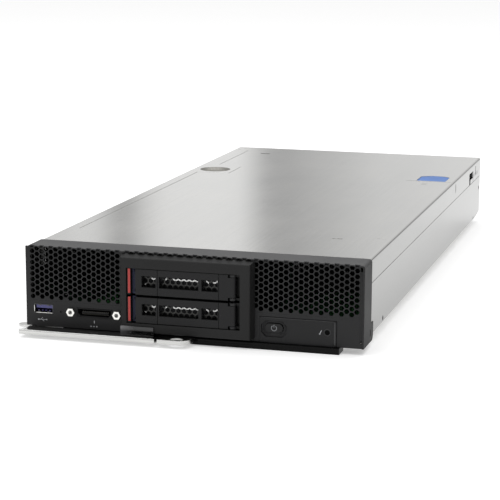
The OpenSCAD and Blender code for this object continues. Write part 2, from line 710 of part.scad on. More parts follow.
tray_x0 = lx(bay_x0) + tray_gap;
tray_x1 = tray_x0 + tray_w;
tray_face = fy(tray_set_back - block_proud);
handle_back = tray_face + front_t;
frame_face = handle_back + tray_gap;
frame_t = 2.6;
frame_back = frame_face + frame_t;
latch_x0 = tray_x0 + strip_w + recess_w;
latch_x1 = latch_x0 + tray_latch_w;
handle_x0 = latch_x1 + tray_seam;
handle_x1 = tray_x1 - 2.4;
hinge_x = handle_x1 - knuckle_r;
hinge_y = tray_face + knuckle_r;
lug_t = 1.5;
window_z = 4.8;
mesh_x0 = latch_x0 + 1.6;
mesh_x1 = handle_x0 + long_window + short_window + 4.4;
mesh_t = 0.4;
mesh_margin = 1;
mesh_y = frame_face + 0.9;
rib_h = 1.2;
rib_l = 4;
rib_z = [window_z - 3.4, window_z + window_h + 2];
front_x0 = tray_x0 + strip_w;
line_x = handle_x0 + 3.3 + long_window + short_window;
pocket_x = hinge_x - knuckle_r - 1;

// frame, hinge lugs and side rails in one sheet-and-moulding piece
module carrier(i) color("DarkSlateGray") translate([0, 0, tray_z(i)]) {
  difference() {
    block(front_x0, tray_x1, frame_face, frame_back, 0, tray_h);
    // air window, with a step that holds the mesh
    block(mesh_x0, mesh_x1, frame_face - eps, frame_back + eps, window_z - 0.6, window_z + window_h + 0.6);
    block(mesh_x0 - mesh_margin, mesh_x1 + mesh_margin, mesh_y, frame_back + eps,
          window_z - 0.6 - mesh_margin, window_z + window_h + 0.6 + mesh_margin);
    // pocket behind the handle's knuckle
    block(pocket_x, tray_x1 + eps, frame_face - eps, hinge_y + knuckle_r + fit, lug_t, tray_h - lug_t);
    translate([hinge_x, hinge_y, -eps]) cylinder(h = tray_h + 2 * eps, r = handle_pin_r + pin_gap);
    // slots for the latch's ribs
    for (z = rib_z)
      block(latch_x0 + 1 - tray_latch_travel - fit, latch_x0 + 1 + rib_l + fit, frame_face - eps,
            frame_back + eps, z - fit, z + rib_h + fit);
  }
  // strip backing and lugs that hold the hinge pin
  block(tray_x0, front_x0, tray_face + 1.5, frame_back, 0, tray_h);
  for (z = [0, tray_h - lug_t]) difference() {
    union() {
      translate([hinge_x, hinge_y, z]) cylinder(h = lug_t, r = knuckle_r);
      block(hinge_x - knuckle_r, tray_x1, hinge_y, frame_face + 0.5, z, z + lug_t);
    }
    translate([hinge_x, hinge_y, z - eps]) cylinder(h = lug_t + 2 * eps, r = handle_pin_r + pin_gap);
  }
  // folded sheet that carries the drive
  along_y(frame_back, drive_front + drive_l) polygon([
    [tray_x0, 0], [tray_x1, 0], [tray_x1, tray_h - 2], [tray_x1 - tray_t, tray_h - 2],
    [tray_x1 - tray_t, tray_t], [tray_x0 + tray_t, tray_t], [tray_x0 + tray_t, tray_h - 2],
    [tray_x0, tray_h - 2]
  ]);
}

drive_chamfer = 2;

module drive(i) color("DimGray") translate([0, 0, tray_z(i) + tray_t]) difference() {
  along_z(0, drive_h) polygon([
    [tray_x0 + tray_t, drive_front + drive_chamfer], [tray_x0 + tray_t + drive_chamfer, drive_front],
    [tray_x1 - tray_t - drive_chamfer, drive_front], [tray_x1 - tray_t, drive_front + drive_chamfer],
    [tray_x1 - tray_t, drive_front + drive_l], [tray_x0 + tray_t, drive_front + drive_l]
  ]);
  // step round the lid, label recess and the mouth of the rear plug
  for (x = [tray_x0 + tray_t - eps, tray_x1 - tray_t - 1.5])
    block(x, x + 1.5 + eps, drive_front - eps, drive_front + drive_l + eps, drive_h - 1.2, drive_h + eps);
  block(bay_mid - 28, bay_mid + 28, drive_front + 12, drive_front + drive_l - 16, drive_h - 0.3, drive_h + eps);
  block(bay_mid - plug_w / 2 + 2, bay_mid + plug_w / 2 - 2, drive_front + drive_l - 4,
        drive_front + drive_l + eps, 2.4, 5);
}

mesh_columns = floor((mesh_x1 - mesh_x0 - 1) / mesh_pitch);
mesh_rows = 3;

// perforated plate behind the windows, rows side by side with pointed tops
module tray_mesh(i) color("Silver")
  along_y(mesh_y + 0.05, mesh_y + 0.05 + mesh_t) translate([0, tray_z(i)]) difference() {
    rect(mesh_x0 - mesh_margin + touch, mesh_x1 + mesh_margin - touch,
         window_z - 0.6 - mesh_margin + touch, window_z + window_h + 0.6 + mesh_margin - touch);
    for (r = [0 : mesh_rows - 1]) for (c = [0 : mesh_columns - 1])
      translate([mesh_x0 + 1 + mesh_pitch / 2 + (c + (r % 2) / 2) * mesh_pitch - mesh_pitch / 4,
                 window_z + window_h / 2 + (r - 1) * mesh_pitch * hex_cos])
        rotate(30) circle(mesh_open / 2 / hex_cos, $fn = 6);
  }

module strip(i) color("IndianRed")
  block(tray_x0, tray_x0 + strip_w - touch, tray_face, tray_face + 1.5, tray_z(i), tray_z(i) + tray_h);

module handle_pin(i) color("Silver")
  translate([hinge_x, hinge_y, tray_z(i) + 0.2]) cylinder(h = tray_h - 0.4, r = handle_pin_r);

module handle(i) color("DimGray") translate([0, 0, tray_z(i)]) difference() {
  union() {
    block(handle_x0, hinge_x, tray_face, handle_back, 0, tray_h);
    translate([hinge_x, hinge_y, 0]) cylinder(h = tray_h, r = knuckle_r);
  }
  // room for the hinge lugs
  for (z = [-eps, tray_h - lug_t - fit])
    block(hinge_x - knuckle_r - fit, tray_x1, tray_face - eps, hinge_y + knuckle_r + eps, z, z + lug_t + fit + eps);
  translate([hinge_x, hinge_y, -eps]) cylinder(h = tray_h + 2 * eps, r = handle_pin_r + pin_gap);
  // two windows and the thin line between grip and hinge
  for (w = [[0.9, long_window], [2.9 + long_window, short_window]])
    block(handle_x0 + w[0], handle_x0 + w[0] + w[1], tray_face - eps, handle_back + eps, window_z,
          window_z + window_h);
  block(line_x, line_x + 0.4, tray_face - eps, tray_face + 0.4, -eps, tray_h + eps);
}

module tray_latch(i) color("DimGray") translate([0, 0, tray_z(i)]) {
  difference() {
    block(latch_x0, latch_x1, tray_face, handle_back, 0, tray_h);
    block(latch_x1 - 1 - latch_window, latch_x1 - 1, tray_face - eps, handle_back + eps, window_z,
          window_z + window_h);
  }
  for (z = rib_z) block(latch_x0 + 1, latch_x0 + 1 + rib_l, handle_back, frame_back - 0.2, z, z + rib_h);
}

module lower_carrier() carrier(0);
module upper_carrier() carrier(1);
module lower_drive() drive(0);
module upper_drive() drive(1);
module lower_mesh() tray_mesh(0);
module upper_mesh() tray_mesh(1);
module lower_strip() strip(0);
module upper_strip() strip(1);
module lower_handle_pin() handle_pin(0);
module upper_handle_pin() handle_pin(1);
module lower_handle() handle(0);
module upper_handle() handle(1);
module lower_latch() tray_latch(0);
module upper_latch() tray_latch(1);

// ---- front sockets ----

usb_depth = 14;
shell_t = 0.3;
socket_under = usb_z - usb_h / 2;
socket_board_top = min(socket_under, socket_z - console_h / 2) - touch;

module usb_shell() color("Silver") along_y(front_y - 0.2, fy(usb_depth)) difference() {
  rect(lx(usb_x - usb_w / 2), lx(usb_x + usb_w / 2), socket_under, socket_under + usb_h);
  rect(lx(usb_x - usb_w / 2) + shell_t, lx(usb_x + usb_w / 2) - shell_t,
       socket_under + shell_t, socket_under + usb_h - shell_t);
}

module usb_tongue() color("MediumSlateBlue") {
  w = usb_w / 2 - shell_t - touch;
  block(lx(usb_x) - w, lx(usb_x) + w, fy(usb_depth - 3), fy(usb_depth), socket_under + shell_t + 0.05,
        socket_under + usb_h - shell_t - 0.05);
  block(lx(usb_x) - w + 0.5, lx(usb_x) + w - 0.5, fy(1.2), fy(usb_depth - 3), usb_z + 0.1,
        usb_z + usb_h / 2 - shell_t - 0.4);
}

console_depth = 12;

module console_connector() color("DarkSlateGray") {
  // moulded body with a D-shaped mouth and a contact blade in the middle
  difference() {
    block(lx(console_x - console_w / 2), lx(console_x + console_w / 2), front_y - 0.1, fy(console_depth),
          socket_z - console_h / 2, socket_z + console_h / 2);
    along_y(front_y - 1, fy(console_depth - 4)) polygon([
      [lx(console_x - console_w / 2 + 0.8), socket_z + console_h / 2 - 0.7],
      [lx(console_x + console_w / 2 - 0.8), socket_z + console_h / 2 - 0.7],
      [lx(console_x + console_w / 2 - 0.8), socket_z - 0.4],
      [lx(console_x + console_w / 2 - 2.4), socket_z - console_h / 2 + 0.7],
      [lx(console_x - console_w / 2 + 2.4), socket_z - console_h / 2 + 0.7],
      [lx(console_x - console_w / 2 + 0.8), socket_z - 0.4]
    ]);
  }
  block(lx(console_x - console_w / 2 + 3), lx(console_x + console_w / 2 - 3), fy(1), fy(console_depth - 4),
        socket_z - 0.6, socket_z + 0.6);
}

jack_l = jack_proud + 4;

module jackscrews() color("WhiteSmoke") for (x = jacks)
  translate([lx(x), front_y, socket_z]) rotate([90, 0, 0]) difference() {
    union() {
      cylinder(h = jack_proud, r = jack_af / 2 / hex_cos, $fn = 6);
      translate([0, 0, -4]) cylinder(h = 4, r = jack_bore_r + 0.7);
    }
    translate([0, 0, -4 + 1]) cylinder(h = jack_l, r = jack_bore_r);
  }

module socket_board() color("DarkGreen")
  block(lx(left_inset + bezel_t + 1), lx(block_x - 2), fy(bezel_t + 1), fy(40),
        socket_board_top - board_t, socket_board_top);

// ---- control panel ----

button_x = panel_x0 + 8.9;
button_z = panel_z + 9.1;
panel_proud = 0.4;
panel_t = 3;
panel_back = panel_t - panel_proud;
well_l = button_l + 5;
well_h = button_h + 4.6;
well_drop = 0.5;
well_depth = 1;
lens_x = panel_x1 - 5.6;
lens_z = panel_z + 8.7;
button_flange = 0.7;

module control_panel() color("DimGray") difference() {
  along_y(fy(-panel_proud), fy(panel_back))
    round_rect(lx(panel_x0), lx(panel_x1), panel_z, panel_z + panel_h, 0.6);
  along_y(fy(-panel_proud) - eps, fy(well_depth - panel_proud))
    octagon_well(lx(button_x), button_z - well_drop, well_l, well_h, 2.8);
  along_y(fy(0), fy(panel_back) + eps) slot(lx(button_x), button_z, button_l + 2 * fit, button_h + 2 * fit);
  translate([lx(lens_x), fy(panel_back) + eps, lens_z]) rotate([90, 0, 0]) cylinder(h = 9, r = lens_r + 0.05);
}

module power_button() color("DimGray") {
  along_y(fy(-panel_proud + 0.1), fy(panel_back + fit))
    slot(lx(button_x), button_z, button_l, button_h);
  along_y(fy(panel_back + fit), fy(panel_back + fit + 0.8))
    slot(lx(button_x), button_z, button_l + 2 * button_flange, button_h + 2 * button_flange);
}

switch_front = panel_back + fit + 0.8 + button_travel + fit;
switch_t = 2.6;
control_board_d = switch_front + switch_t;

module power_switch() color("Black") {
  block(lx(button_x) - 3, lx(button_x) + 3, fy(switch_front + 0.6), fy(control_board_d), button_z - 3, button_z + 3);
  translate([lx(button_x), fy(switch_front + 0.6), button_z]) rotate([90, 0, 0]) cylinder(h = 0.6, r = 1.6);
}

module status_lens() color("Black")
  translate([lx(lens_x), fy(control_board_d), lens_z]) rotate([90, 0, 0])
    cylinder(h = control_board_d + 0.1, r = lens_r);

module control_board() color("DarkGreen")
  block(lx(panel_x0 + 1), lx(panel_x1 - 1), fy(control_board_d), fy(control_board_d + board_t),
        sheet_t, panel_z + panel_h - 1);

// ---- release lever ----

lever_top = -bezel_drop - lever_gap;
lever_z = lever_top - lever_t;
rail_top = -bezel_drop - touch;
rail_z = rail_top - rail_h;
rail_front = -3;
tab_x0 = lever_arm_end + tab_gap;
tab_x1 = tab_x0 + tab_l;
tab_clear = 1.6;
lip_t = 1.5;
arm_back = -0.8;
web_back = 8.7;
wall_d = 1.2;

module front_rail() color("Black") {
  block(lx(pivot_x - 4), lx(rail_end), fy(rail_front), fy(web_back), rail_z, rail_z + rail_t);
  // back wall, up to the bezel's foot
  block(lx(pivot_x + 12), lx(rail_end), fy(web_back - wall_d), fy(web_back), rail_z, -bezel_t);
  // closed front and right end beside the lever
  block(lx(tab_x1 + tab_clear), lx(rail_end), fy(rail_front), fy(rail_front + wall_d), rail_z, rail_top);
  block(lx(rail_end - wall_d), lx(rail_end), fy(rail_front), fy(web_back), rail_z, rail_top);
  block(lx(tab_x1 + tab_clear), lx(rail_end), fy(rail_front), fy(-touch), rail_top - wall_d, rail_top);
}

module lever_outline() {
  polygon([[lx(lever_left), fy(-lever_reach)], [lx(lever_arm_end), fy(-lever_reach)],
           [lx(lever_arm_end), fy(arm_back)], [lx(pivot_x + 16), fy(arm_back)],
           [lx(pivot_x + hub_r), fy(pivot_d)], [lx(pivot_x), fy(pivot_d)],
           [lx(lever_left), fy(pivot_d - 3)]]);
  translate([lx(pivot_x), fy(pivot_d)]) circle(hub_r);
  slot((lx(pivot_x) + lx(-ear_out)) / 2, fy(pivot_d), pivot_x + ear_out, ear_w);
}

tongue_w = 5;
tongue_y = fy(-lever_reach / 2 - 0.6);
rivet_x = lever_arm_end - 7;
rivet_r = 1.2;
rivet_head_t = 0.4;
tab_tongue_t = 0.6;
tongue_gap = 0.3;
tongue_z = lever_z - tongue_gap - tab_tongue_t;

module release_lever() color("WhiteSmoke") {
  difference() {
    along_z(lever_z, lever_top) lever_outline();
    translate([lx(pivot_x), fy(pivot_d), lever_z - eps])
      cylinder(h = lever_t + 2 * eps, r = pivot_r + pin_gap);
  }
  // front lip with a rolled upper edge
  along_x(lx(lever_left), lx(lever_arm_end)) polygon(concat(
    [[fy(lip_t - lever_reach), lever_z], [fy(-lever_reach), lever_z]],
    arc(fy(lip_t / 2 - lever_reach), lever_z + lever_lip_h - lip_t / 2, lip_t / 2, 180, 0, 6)
  ));
}

module lever_pivot() color("Silver") translate([lx(pivot_x), fy(pivot_d), 0]) {
  translate([0, 0, rail_z + rail_t]) cylinder(h = -bezel_t - rail_z - rail_t, r = pivot_r);
}

tab_round = 7;

module tab_outline(inset) {
  r = tab_round - inset;
  x1 = lx(tab_x1) - inset;
  y0 = fy(-lever_reach) + inset;
  rect(lx(tab_x0), x1 - r, y0, fy(arm_back));
  rect(x1 - r - eps, x1, y0 + r, fy(arm_back));
  translate([x1 - r, y0 + r]) circle(r);
}

module lever_tab() color("WhiteSmoke") {
  difference() {
    union() {
      along_z(lever_z, lever_top) tab_outline(0);
      along_z(lever_z, lever_z + lever_lip_h - 0.1) difference() {
        tab_outline(0);
        tab_outline(lip_t);
        rect(lx(tab_x0) - 1, lx(tab_x1) + 1, fy(-lever_reach + tab_round + 1), fy(arm_back + 1));
      }
      // tongue that guides the tab under the arm
      block(lx(tab_x0), lx(tab_x0 + 3), tongue_y - tongue_w / 2, tongue_y + tongue_w / 2, tongue_z,
            lever_top);
      block(lx(rivet_x - 6), lx(tab_x0 + 3), tongue_y - tongue_w / 2, tongue_y + tongue_w / 2,
            tongue_z, tongue_z + tab_tongue_t);
    }
    translate([lx(tab_x0 + 9.5), fy(-lever_reach / 2 - 0.6), lever_z - eps])
      cylinder(h = lever_lip_h + 2, r = finger_r);
    along_z(tongue_z - 1, lever_z - eps)
      slot(lx(rivet_x + tab_travel / 2), tongue_y, 2 * (rivet_r + pin_gap) + tab_travel + 0.4,
           2 * (rivet_r + pin_gap));
  }
}

module tab_rivet() color("Silver") translate([lx(rivet_x), tongue_y, tongue_z - tongue_gap]) {
  cylinder(h = lever_z - tongue_z + tongue_gap, r = rivet_r);
  translate([0, 0, -rivet_head_t]) cylinder(h = rivet_head_t, r = rivet_r + 0.8);
}

// ---- boards and what they carry ----

board_z = sheet_t + board_rise;
board_left = inner_left + 1.5;
board_right = inner_right - 1.5;
board_rear = rear_y - tail_l - 8;
cage_clear = 4;
cage_end = backplane_y + board_t + 2;
left_wing = fy(40 + 2);
right_wing = fy(control_board_d + board_t + 3);

module system_board() color("DarkGreen") along_z(board_z, board_top) polygon([
  [board_left, left_wing], [lx(bay_x0) - cage_t - 6, left_wing], [lx(bay_x0) - cage_t - 6, cage_end],
  [lx(bay_x1) + cage_t + 6, cage_end], [lx(bay_x1) + cage_t + 6, right_wing],
  [board_right, right_wing], [board_right, board_rear], [board_left, board_rear]
]);

post_x = [board_left + 5, 0, board_right - 5];
post_r = 2.6;

module board_standoffs() color("Silver") {
  for (x = post_x) for (d = [0.32, 0.6, 0.9]) translate([x, fy(body_d * d), sheet_t])
    cylinder(h = board_rise, r = post_r);
  // posts under the socket board
  for (x = [14, 54]) translate([lx(x), fy(30), sheet_t])
    cylinder(h = socket_board_top - board_t - sheet_t, r = post_r);
}

first_memory = cage_end + 6;
memory_row = memory_l + 12;
memory_y = [first_memory, first_memory + memory_row + 2];
socket_l = memory_l + 9;
cpu_y = [first_memory + memory_l / 2, first_memory + memory_row + 2 + memory_l / 2];
cpu_w = 77;
cpu_l = 56;
socket_h = 4;
lid_h = 3.4;
sink_z = board_top + socket_h + lid_h;
sink_h = wall_top - sheet_t - 1.2 - sink_z;
sink_base = 4;
memory_side = board_left + 7;

function memory_x(s, k) = s < 0 ? memory_side + k * memory_pitch : -(memory_side - lx(0)) + lx(bezel_w) - k * memory_pitch;

module cpu_sockets() color("Silver") for (y = cpu_y) along_z(board_top, board_top + socket_h)
  difference() {
    round_rect(-cpu_w / 2, cpu_w / 2, y - cpu_l / 2, y + cpu_l / 2, 2);
    rect(-cpu_w / 2 + 12, cpu_w / 2 - 12, y - cpu_l / 2 + 8, y + cpu_l / 2 - 8);
  }

module processors() color("LightGray") for (y = cpu_y) {
  along_z(board_top, board_top + socket_h)
    rect(-cpu_w / 2 + 12.2, cpu_w / 2 - 12.2, y - cpu_l / 2 + 8.2, y + cpu_l / 2 - 8.2);
  along_z(board_top + socket_h, sink_z)
    round_rect(-cpu_w / 2 + 15, cpu_w / 2 - 15, y - cpu_l / 2 + 11, y + cpu_l / 2 - 11, 2);
}

// comb section: a base and upright fins
module fin_section(w, h, base, fins) {
  step = (w - fin_t) / (fins - 1);
  rect(-w / 2, w / 2, 0, base);
  for (k = [0 : fins - 1]) rect(-w / 2 + k * step, -w / 2 + k * step + fin_t, 0, h);
}

module heatsink(y) color("LightSteelBlue")
  translate([0, 0, sink_z]) along_y(y - sink_l / 2, y + sink_l / 2) fin_section(sink_w, sink_h, sink_base, sink_fins);

module front_heatsink() heatsink(cpu_y[0]);
module rear_heatsink() heatsink(cpu_y[1]);

module_t = 1.3;
chip_t = 1.1;
module_seat = 2.6;
memory_socket_w = 6.2;
memory_socket_h = 7.5;
latch_h = 18;

module memory_sockets() color("Black")
  for (y = memory_y) for (s = [-1, 1]) for (k = [0 : memory_count - 1]) {
    x = memory_x(s, k);
    difference() {
      along_x(x - memory_socket_w / 2, x + memory_socket_w / 2) translate([y - 4.5, board_top]) polygon([
        [0, 0], [socket_l, 0], [socket_l, latch_h - 3], [socket_l - 2, latch_h], [socket_l - 4.3, latch_h],
        [socket_l - 4.3, memory_socket_h], [4.3, memory_socket_h], [4.3, latch_h], [2, latch_h], [0, latch_h - 3]
      ]);
      block(x - module_t / 2 - touch, x + module_t / 2 + touch, y - touch, y + memory_l + touch,
            board_top + module_seat - touch, board_top + latch_h + 1);
    }
  }

chip_count = 9;
chip_w = 11;
chip_l = 9.5;

module memory_modules() color("SeaGreen")
  for (y = memory_y) for (s = [-1, 1]) for (k = [0 : memory_count - 1]) {
    x = memory_x(s, k);
    translate([0, y, board_top + module_seat]) {
      along_x(x - module_t / 2, x + module_t / 2) rect(0, memory_l, 0, memory_h);
      along_x(x - module_t / 2 - chip_t, x + module_t / 2 + chip_t)
        for (c = [0 : chip_count - 1])
          translate([5 + c * (memory_l - 10 - chip_l) / (chip_count - 1), memory_h * 0.5]) square([chip_l, min(chip_w, memory_h * 0.4)]);
    }
  }

baffle_t = 1.2;
baffle_x = sink_w / 2 + 4;

module air_baffles() color("DimGray") for (s = [-1, 1])
  along_y(memory_y[0] - 4, memory_y[1] + memory_l + 4) scale([s, 1]) {
    rect(baffle_x, baffle_x + baffle_t, board_top + touch, wall_top - sheet_t - 1);
    rect(baffle_x, baffle_x + 6, wall_top - sheet_t - 1 - baffle_t, wall_top - sheet_t - 1);
  }

chipset_w = 34;
chipset_y = memory_y[1] + memory_l + 20;

module chipset_heatsink() color("LightSteelBlue") translate([8, 0, board_top])
  along_y(chipset_y - 14, chipset_y + 14) fin_section(chipset_w, 12, 3, 11);

battery_r = 10;

module battery() color("Silver") translate([-26, chipset_y, board_top]) {
  cylinder(h = 2, r = battery_r + 1.6);
  translate([0, 0, 2]) cylinder(h = 3.2, r = battery_r);
}

card_rise = 12;
card_x = [board_left + 2, board_left + 66];
card_y = [memory_y[1] + memory_l + 9, board_rear - 8];

// network card on its board-to-board connector
module network_card() color("DarkGreen") {
  block(card_x[0], card_x[1], card_y[0], card_y[1], board_top + signal_h + 1, board_top + signal_h + 1 + board_t);
  block(card_x[1] - 14, card_x[1] - 6, card_y[0] + 2, card_y[1] - 2, board_top, board_top + signal_h + 1);
}

module network_heatsink() color("LightSteelBlue")
  translate([(card_x[0] + card_x[1]) / 2, 0, board_top + signal_h + 1 + board_t])
    along_y(card_y[0] + 4, card_y[1] - 4) fin_section(30, 12, 2.5, 13);

// ---- rear connectors ----

connector_in = 10;

module connector_block(x, w, h) block(x - w / 2, x + w / 2, rear_y - sheet_t - connector_in, rear_y + rear_proud, rear_seat, rear_seat + h);

wafer_pitch = 3.6;
wafer_count = floor((signal_w - 4) / wafer_pitch);

// rows of upright wafers with a shroud round them
module signal_connectors() color("DarkSlateGray") for (x = signal_x) difference() {
  connector_block(x, signal_w, signal_h);
  for (k = [0 : wafer_count - 1])
    translate([x - (wafer_count - 1) * wafer_pitch / 2 + k * wafer_pitch, 0, 0])
      block(-0.9, 0.9, rear_y + rear_proud - 6, rear_y + rear_proud + eps, rear_seat + 1.6, rear_seat + signal_h - 1.6);
}

blade_pitch = 5.6;

module power_connector() color("DarkSlateGray") difference() {
  connector_block(0, power_w, power_h);
  for (k = [-1.5 : 1.5]) for (r = [0, 1])
    block(k * blade_pitch - 1.2, k * blade_pitch + 1.2, rear_y + rear_proud - 6, rear_y + rear_proud + eps,
          rear_seat + 2 + r * 7, rear_seat + 6.6 + r * 7);
}

guide_lead = 1.2;

// sleeves with a lead-in and a bore right through that the enclosure's guide pins enter
module guide_sockets() color("Silver") for (x = guide_x) difference() {
  block(x - guide_w / 2, x + guide_w / 2, rear_y + rear_proud - guide_l, rear_y + rear_proud, rear_seat,
        rear_seat + guide_h);
  translate([x, rear_y + rear_proud, rear_seat + guide_h / 2]) rotate([90, 0, 0]) {
    cylinder(h = guide_lead, r1 = guide_r + guide_lead, r2 = guide_r);
    translate([0, 0, -eps]) cylinder(h = guide_l + 2 * eps, r = guide_r);
  }
}

chassis_tray();
rear_panel();
top_cover();
thumb_recess();
cover_latch();
cover_latch_spring();
cover_pins();
bezel();
left_grille();
right_grille();
drive_bezel();
nameplate();
drive_cage();
drive_backplane();
backplane_connectors();
lower_carrier();
lower_drive();
lower_mesh();
lower_strip();
lower_handle_pin();
lower_handle();
lower_latch();
upper_carrier();
upper_drive();
upper_mesh();
upper_strip();
upper_handle_pin();
upper_handle();
upper_latch();
usb_shell();
usb_tongue();
console_connector();
jackscrews();
socket_board();
control_panel();
power_button();
status_lens();
control_board();
power_switch();
front_rail();
release_lever();
lever_pivot();
lever_tab();
tab_rivet();
system_board();
board_standoffs();
cpu_sockets();
processors();
front_heatsink();
rear_heatsink();
memory_sockets();
memory_modules();
air_baffles();
chipset_heatsink();
battery();
network_card();
network_heatsink();
signal_connectors();
power_connector();
guide_sockets();
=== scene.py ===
"""Dresses a half-width blade server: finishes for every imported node, and the small pieces that the
solids leave out, such as contacts, screw heads, raised beads and printed signs. The frame, the
set and the camera are in metres; what builds and places pieces takes millimetres."""
import json
import math

import bpy
from mathutils import Matrix, Vector


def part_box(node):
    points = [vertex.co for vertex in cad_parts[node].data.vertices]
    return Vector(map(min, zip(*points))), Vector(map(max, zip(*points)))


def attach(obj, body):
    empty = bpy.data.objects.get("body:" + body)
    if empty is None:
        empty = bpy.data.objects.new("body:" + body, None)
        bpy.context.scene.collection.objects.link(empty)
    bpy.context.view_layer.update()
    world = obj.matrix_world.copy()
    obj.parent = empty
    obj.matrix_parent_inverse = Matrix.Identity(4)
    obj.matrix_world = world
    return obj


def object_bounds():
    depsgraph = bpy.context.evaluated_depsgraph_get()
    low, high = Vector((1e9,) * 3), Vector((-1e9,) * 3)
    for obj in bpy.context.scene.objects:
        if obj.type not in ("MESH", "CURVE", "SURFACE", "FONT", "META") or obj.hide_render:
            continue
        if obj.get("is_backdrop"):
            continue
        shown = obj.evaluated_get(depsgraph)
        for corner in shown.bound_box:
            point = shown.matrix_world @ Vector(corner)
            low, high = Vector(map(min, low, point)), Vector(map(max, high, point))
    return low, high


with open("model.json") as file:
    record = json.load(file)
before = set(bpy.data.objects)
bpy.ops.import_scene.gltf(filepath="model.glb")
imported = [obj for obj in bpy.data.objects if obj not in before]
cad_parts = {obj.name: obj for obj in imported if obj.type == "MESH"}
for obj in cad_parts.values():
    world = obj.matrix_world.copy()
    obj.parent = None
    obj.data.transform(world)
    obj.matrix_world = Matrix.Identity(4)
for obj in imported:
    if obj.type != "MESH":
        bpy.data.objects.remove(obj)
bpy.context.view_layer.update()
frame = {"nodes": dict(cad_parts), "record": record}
nodes = frame["nodes"]
MM = 0.001

# where measures start: the bezel's left edge, the perforated face and the chassis's underside
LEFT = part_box("bezel")[0].x
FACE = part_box("left_grille")[0].y
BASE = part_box("chassis_tray")[0].z
# the bezel's width, its top and the rear panel's outer face, in millimetres from there
WIDTH = (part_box("bezel")[1].x - LEFT) / MM
TOP = (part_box("bezel")[1].z - BASE) / MM
REAR = (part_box("rear_panel")[1].y - FACE) / MM


def spot(x, d, z):
    """A point x mm from the bezel's left edge, d mm behind the face, z mm above the underside."""
    return Vector((LEFT + x * MM, FACE + d * MM, BASE + z * MM))


def measured(node):
    """A node's lowest and highest corners in the same millimetres."""
    low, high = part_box(node)
    start = Vector((LEFT, FACE, BASE))
    return (low - start) / MM, (high - start) / MM


def faced(node):
    """A node's corners as measured, with the x and z of its middle, where the front shows it."""
    low, high = measured(node)
    return low, high, (low.x + high.x) / 2, (low.z + high.z) / 2


# ---- shader helpers ----


def linear(code):
    """An sRGB hex code as linear RGBA."""
    parts = [int(code[i:i + 2], 16) / 255 for i in (0, 2, 4)]
    return [c / 12.92 if c <= 0.04045 else ((c + 0.055) / 1.055) ** 2.4 for c in parts] + [1]


def add(tree, kind, sockets, **settings):
    """Adds a shader node; a socket's value is a number, a colour or another node's output."""
    node = tree.nodes.new("ShaderNode" + kind)
    for name, value in settings.items():
        setattr(node, name, value)
    for key, value in sockets.items():
        if isinstance(value, bpy.types.NodeSocket):
            tree.links.new(value, node.inputs[key])
        else:
            node.inputs[key].default_value = value
    return node


def new_material(name):
    """An empty material with its place coordinates and a Principled shader that ends it."""
    material = bpy.data.materials.new(name)
    material.use_nodes = True
    tree = material.node_tree
    tree.nodes.clear()
    place = add(tree, "TexCoord", {}).outputs["Object"]
    shader = add(tree, "BsdfPrincipled", {})
    add(tree, "OutputMaterial", {"Surface": shader.outputs[0]})
    return material, tree, place, shader


def grain(tree, place, spacing, detail=2.0):
    """Noise whose lumps are `spacing` (x, y, z) millimetres apart."""
    scale = [1 / (s * MM) for s in spacing]
    mapped = add(tree, "Mapping", {"Vector": place, "Scale": scale})
    noise = add(tree, "TexNoise", {"Vector": mapped.outputs[0], "Scale": 1.0, "Detail": detail,
                                   "Roughness": 0.55})
    return noise.outputs[0]


def remap(tree, value, low, high, source=(0.3, 0.7)):
    """Stretches the source range, at first the middle of a noise, to the one from low to high."""
    node = add(tree, "MapRange", {"Value": value, "From Min": source[0], "From Max": source[1],
                                  "To Min": low, "To Max": high})
    return node.outputs[0]


def mixed(tree, factor, first, second):
    """The first colour where the factor is 0 and the second where it is 1."""
    return add(tree, "Mix", {"Factor": factor, 6: first, 7: second}, data_type="RGBA").outputs[2]


def maths(tree, operation, first, second):
    """The output of one Math node on two values."""
    return add(tree, "Math", {0: first, 1: second}, operation=operation).outputs[0]


def within(tree, place, x=None, d=None, z=None):
    """1 between the limits given, in millimetres as in spot(), and 0 elsewhere."""
    axes = add(tree, "SeparateXYZ", {0: place})
    mask = None
    for limits, output, start in zip((x, d, z), axes.outputs, (LEFT, FACE, BASE)):
        if limits is None:
            continue
        for operation, limit in zip(("GREATER_THAN", "LESS_THAN"), limits):
            side = maths(tree, operation, output, start + limit * MM)
            mask = side if mask is None else maths(tree, "MULTIPLY", mask, side)
    return mask


def either(tree, *masks):
    """1 where any of the masks is 1."""
    total = masks[0]
    for mask in masks[1:]:
        total = maths(tree, "MAXIMUM", total, mask)
    return total


def bump(tree, height, depth, softened=None):
    """A bump of `depth` millimetres, on top of rounded edges where they are given."""
    sockets = {"Height": height, "Distance": depth * MM, "Strength": 1.0}
    if softened is not None:
        sockets["Normal"] = softened
    return add(tree, "Bump", sockets).outputs[0]


def rounded(tree, radius):
    """Normals that turn round an edge, as a folded or moulded edge does."""
    return add(tree, "Bevel", {"Radius": radius * MM}, samples=4).outputs[0]


def soften(shader, level):
    """Weakens the mirror-like part of a rough black surface, which fine pores swallow."""
    shader.inputs["Specular IOR Level"].default_value = level


def set_links(tree, shader, **sockets):
    """Links outputs to the shader: colour, roughness and normal."""
    names = {"colour": "Base Color", "rough": "Roughness", "normal": "Normal"}
    for key, value in sockets.items():
        tree.links.new(value, shader.inputs[names[key]])


# ---- finishes ----

# what the sheet steel shows as shade alone, in millimetres as in spot()
LEFT_WALL, RIGHT_WALL = (-10, 3.8), (WIDTH - 2, WIDTH + 5)
# two alignment dots and a short mark pressed into the cover: middle x and d, half the width
PRESSED = ((7.6, 447.7, 1.1), (10.4, 456.8, 1.1), (194.2, 309.5, 2.0))
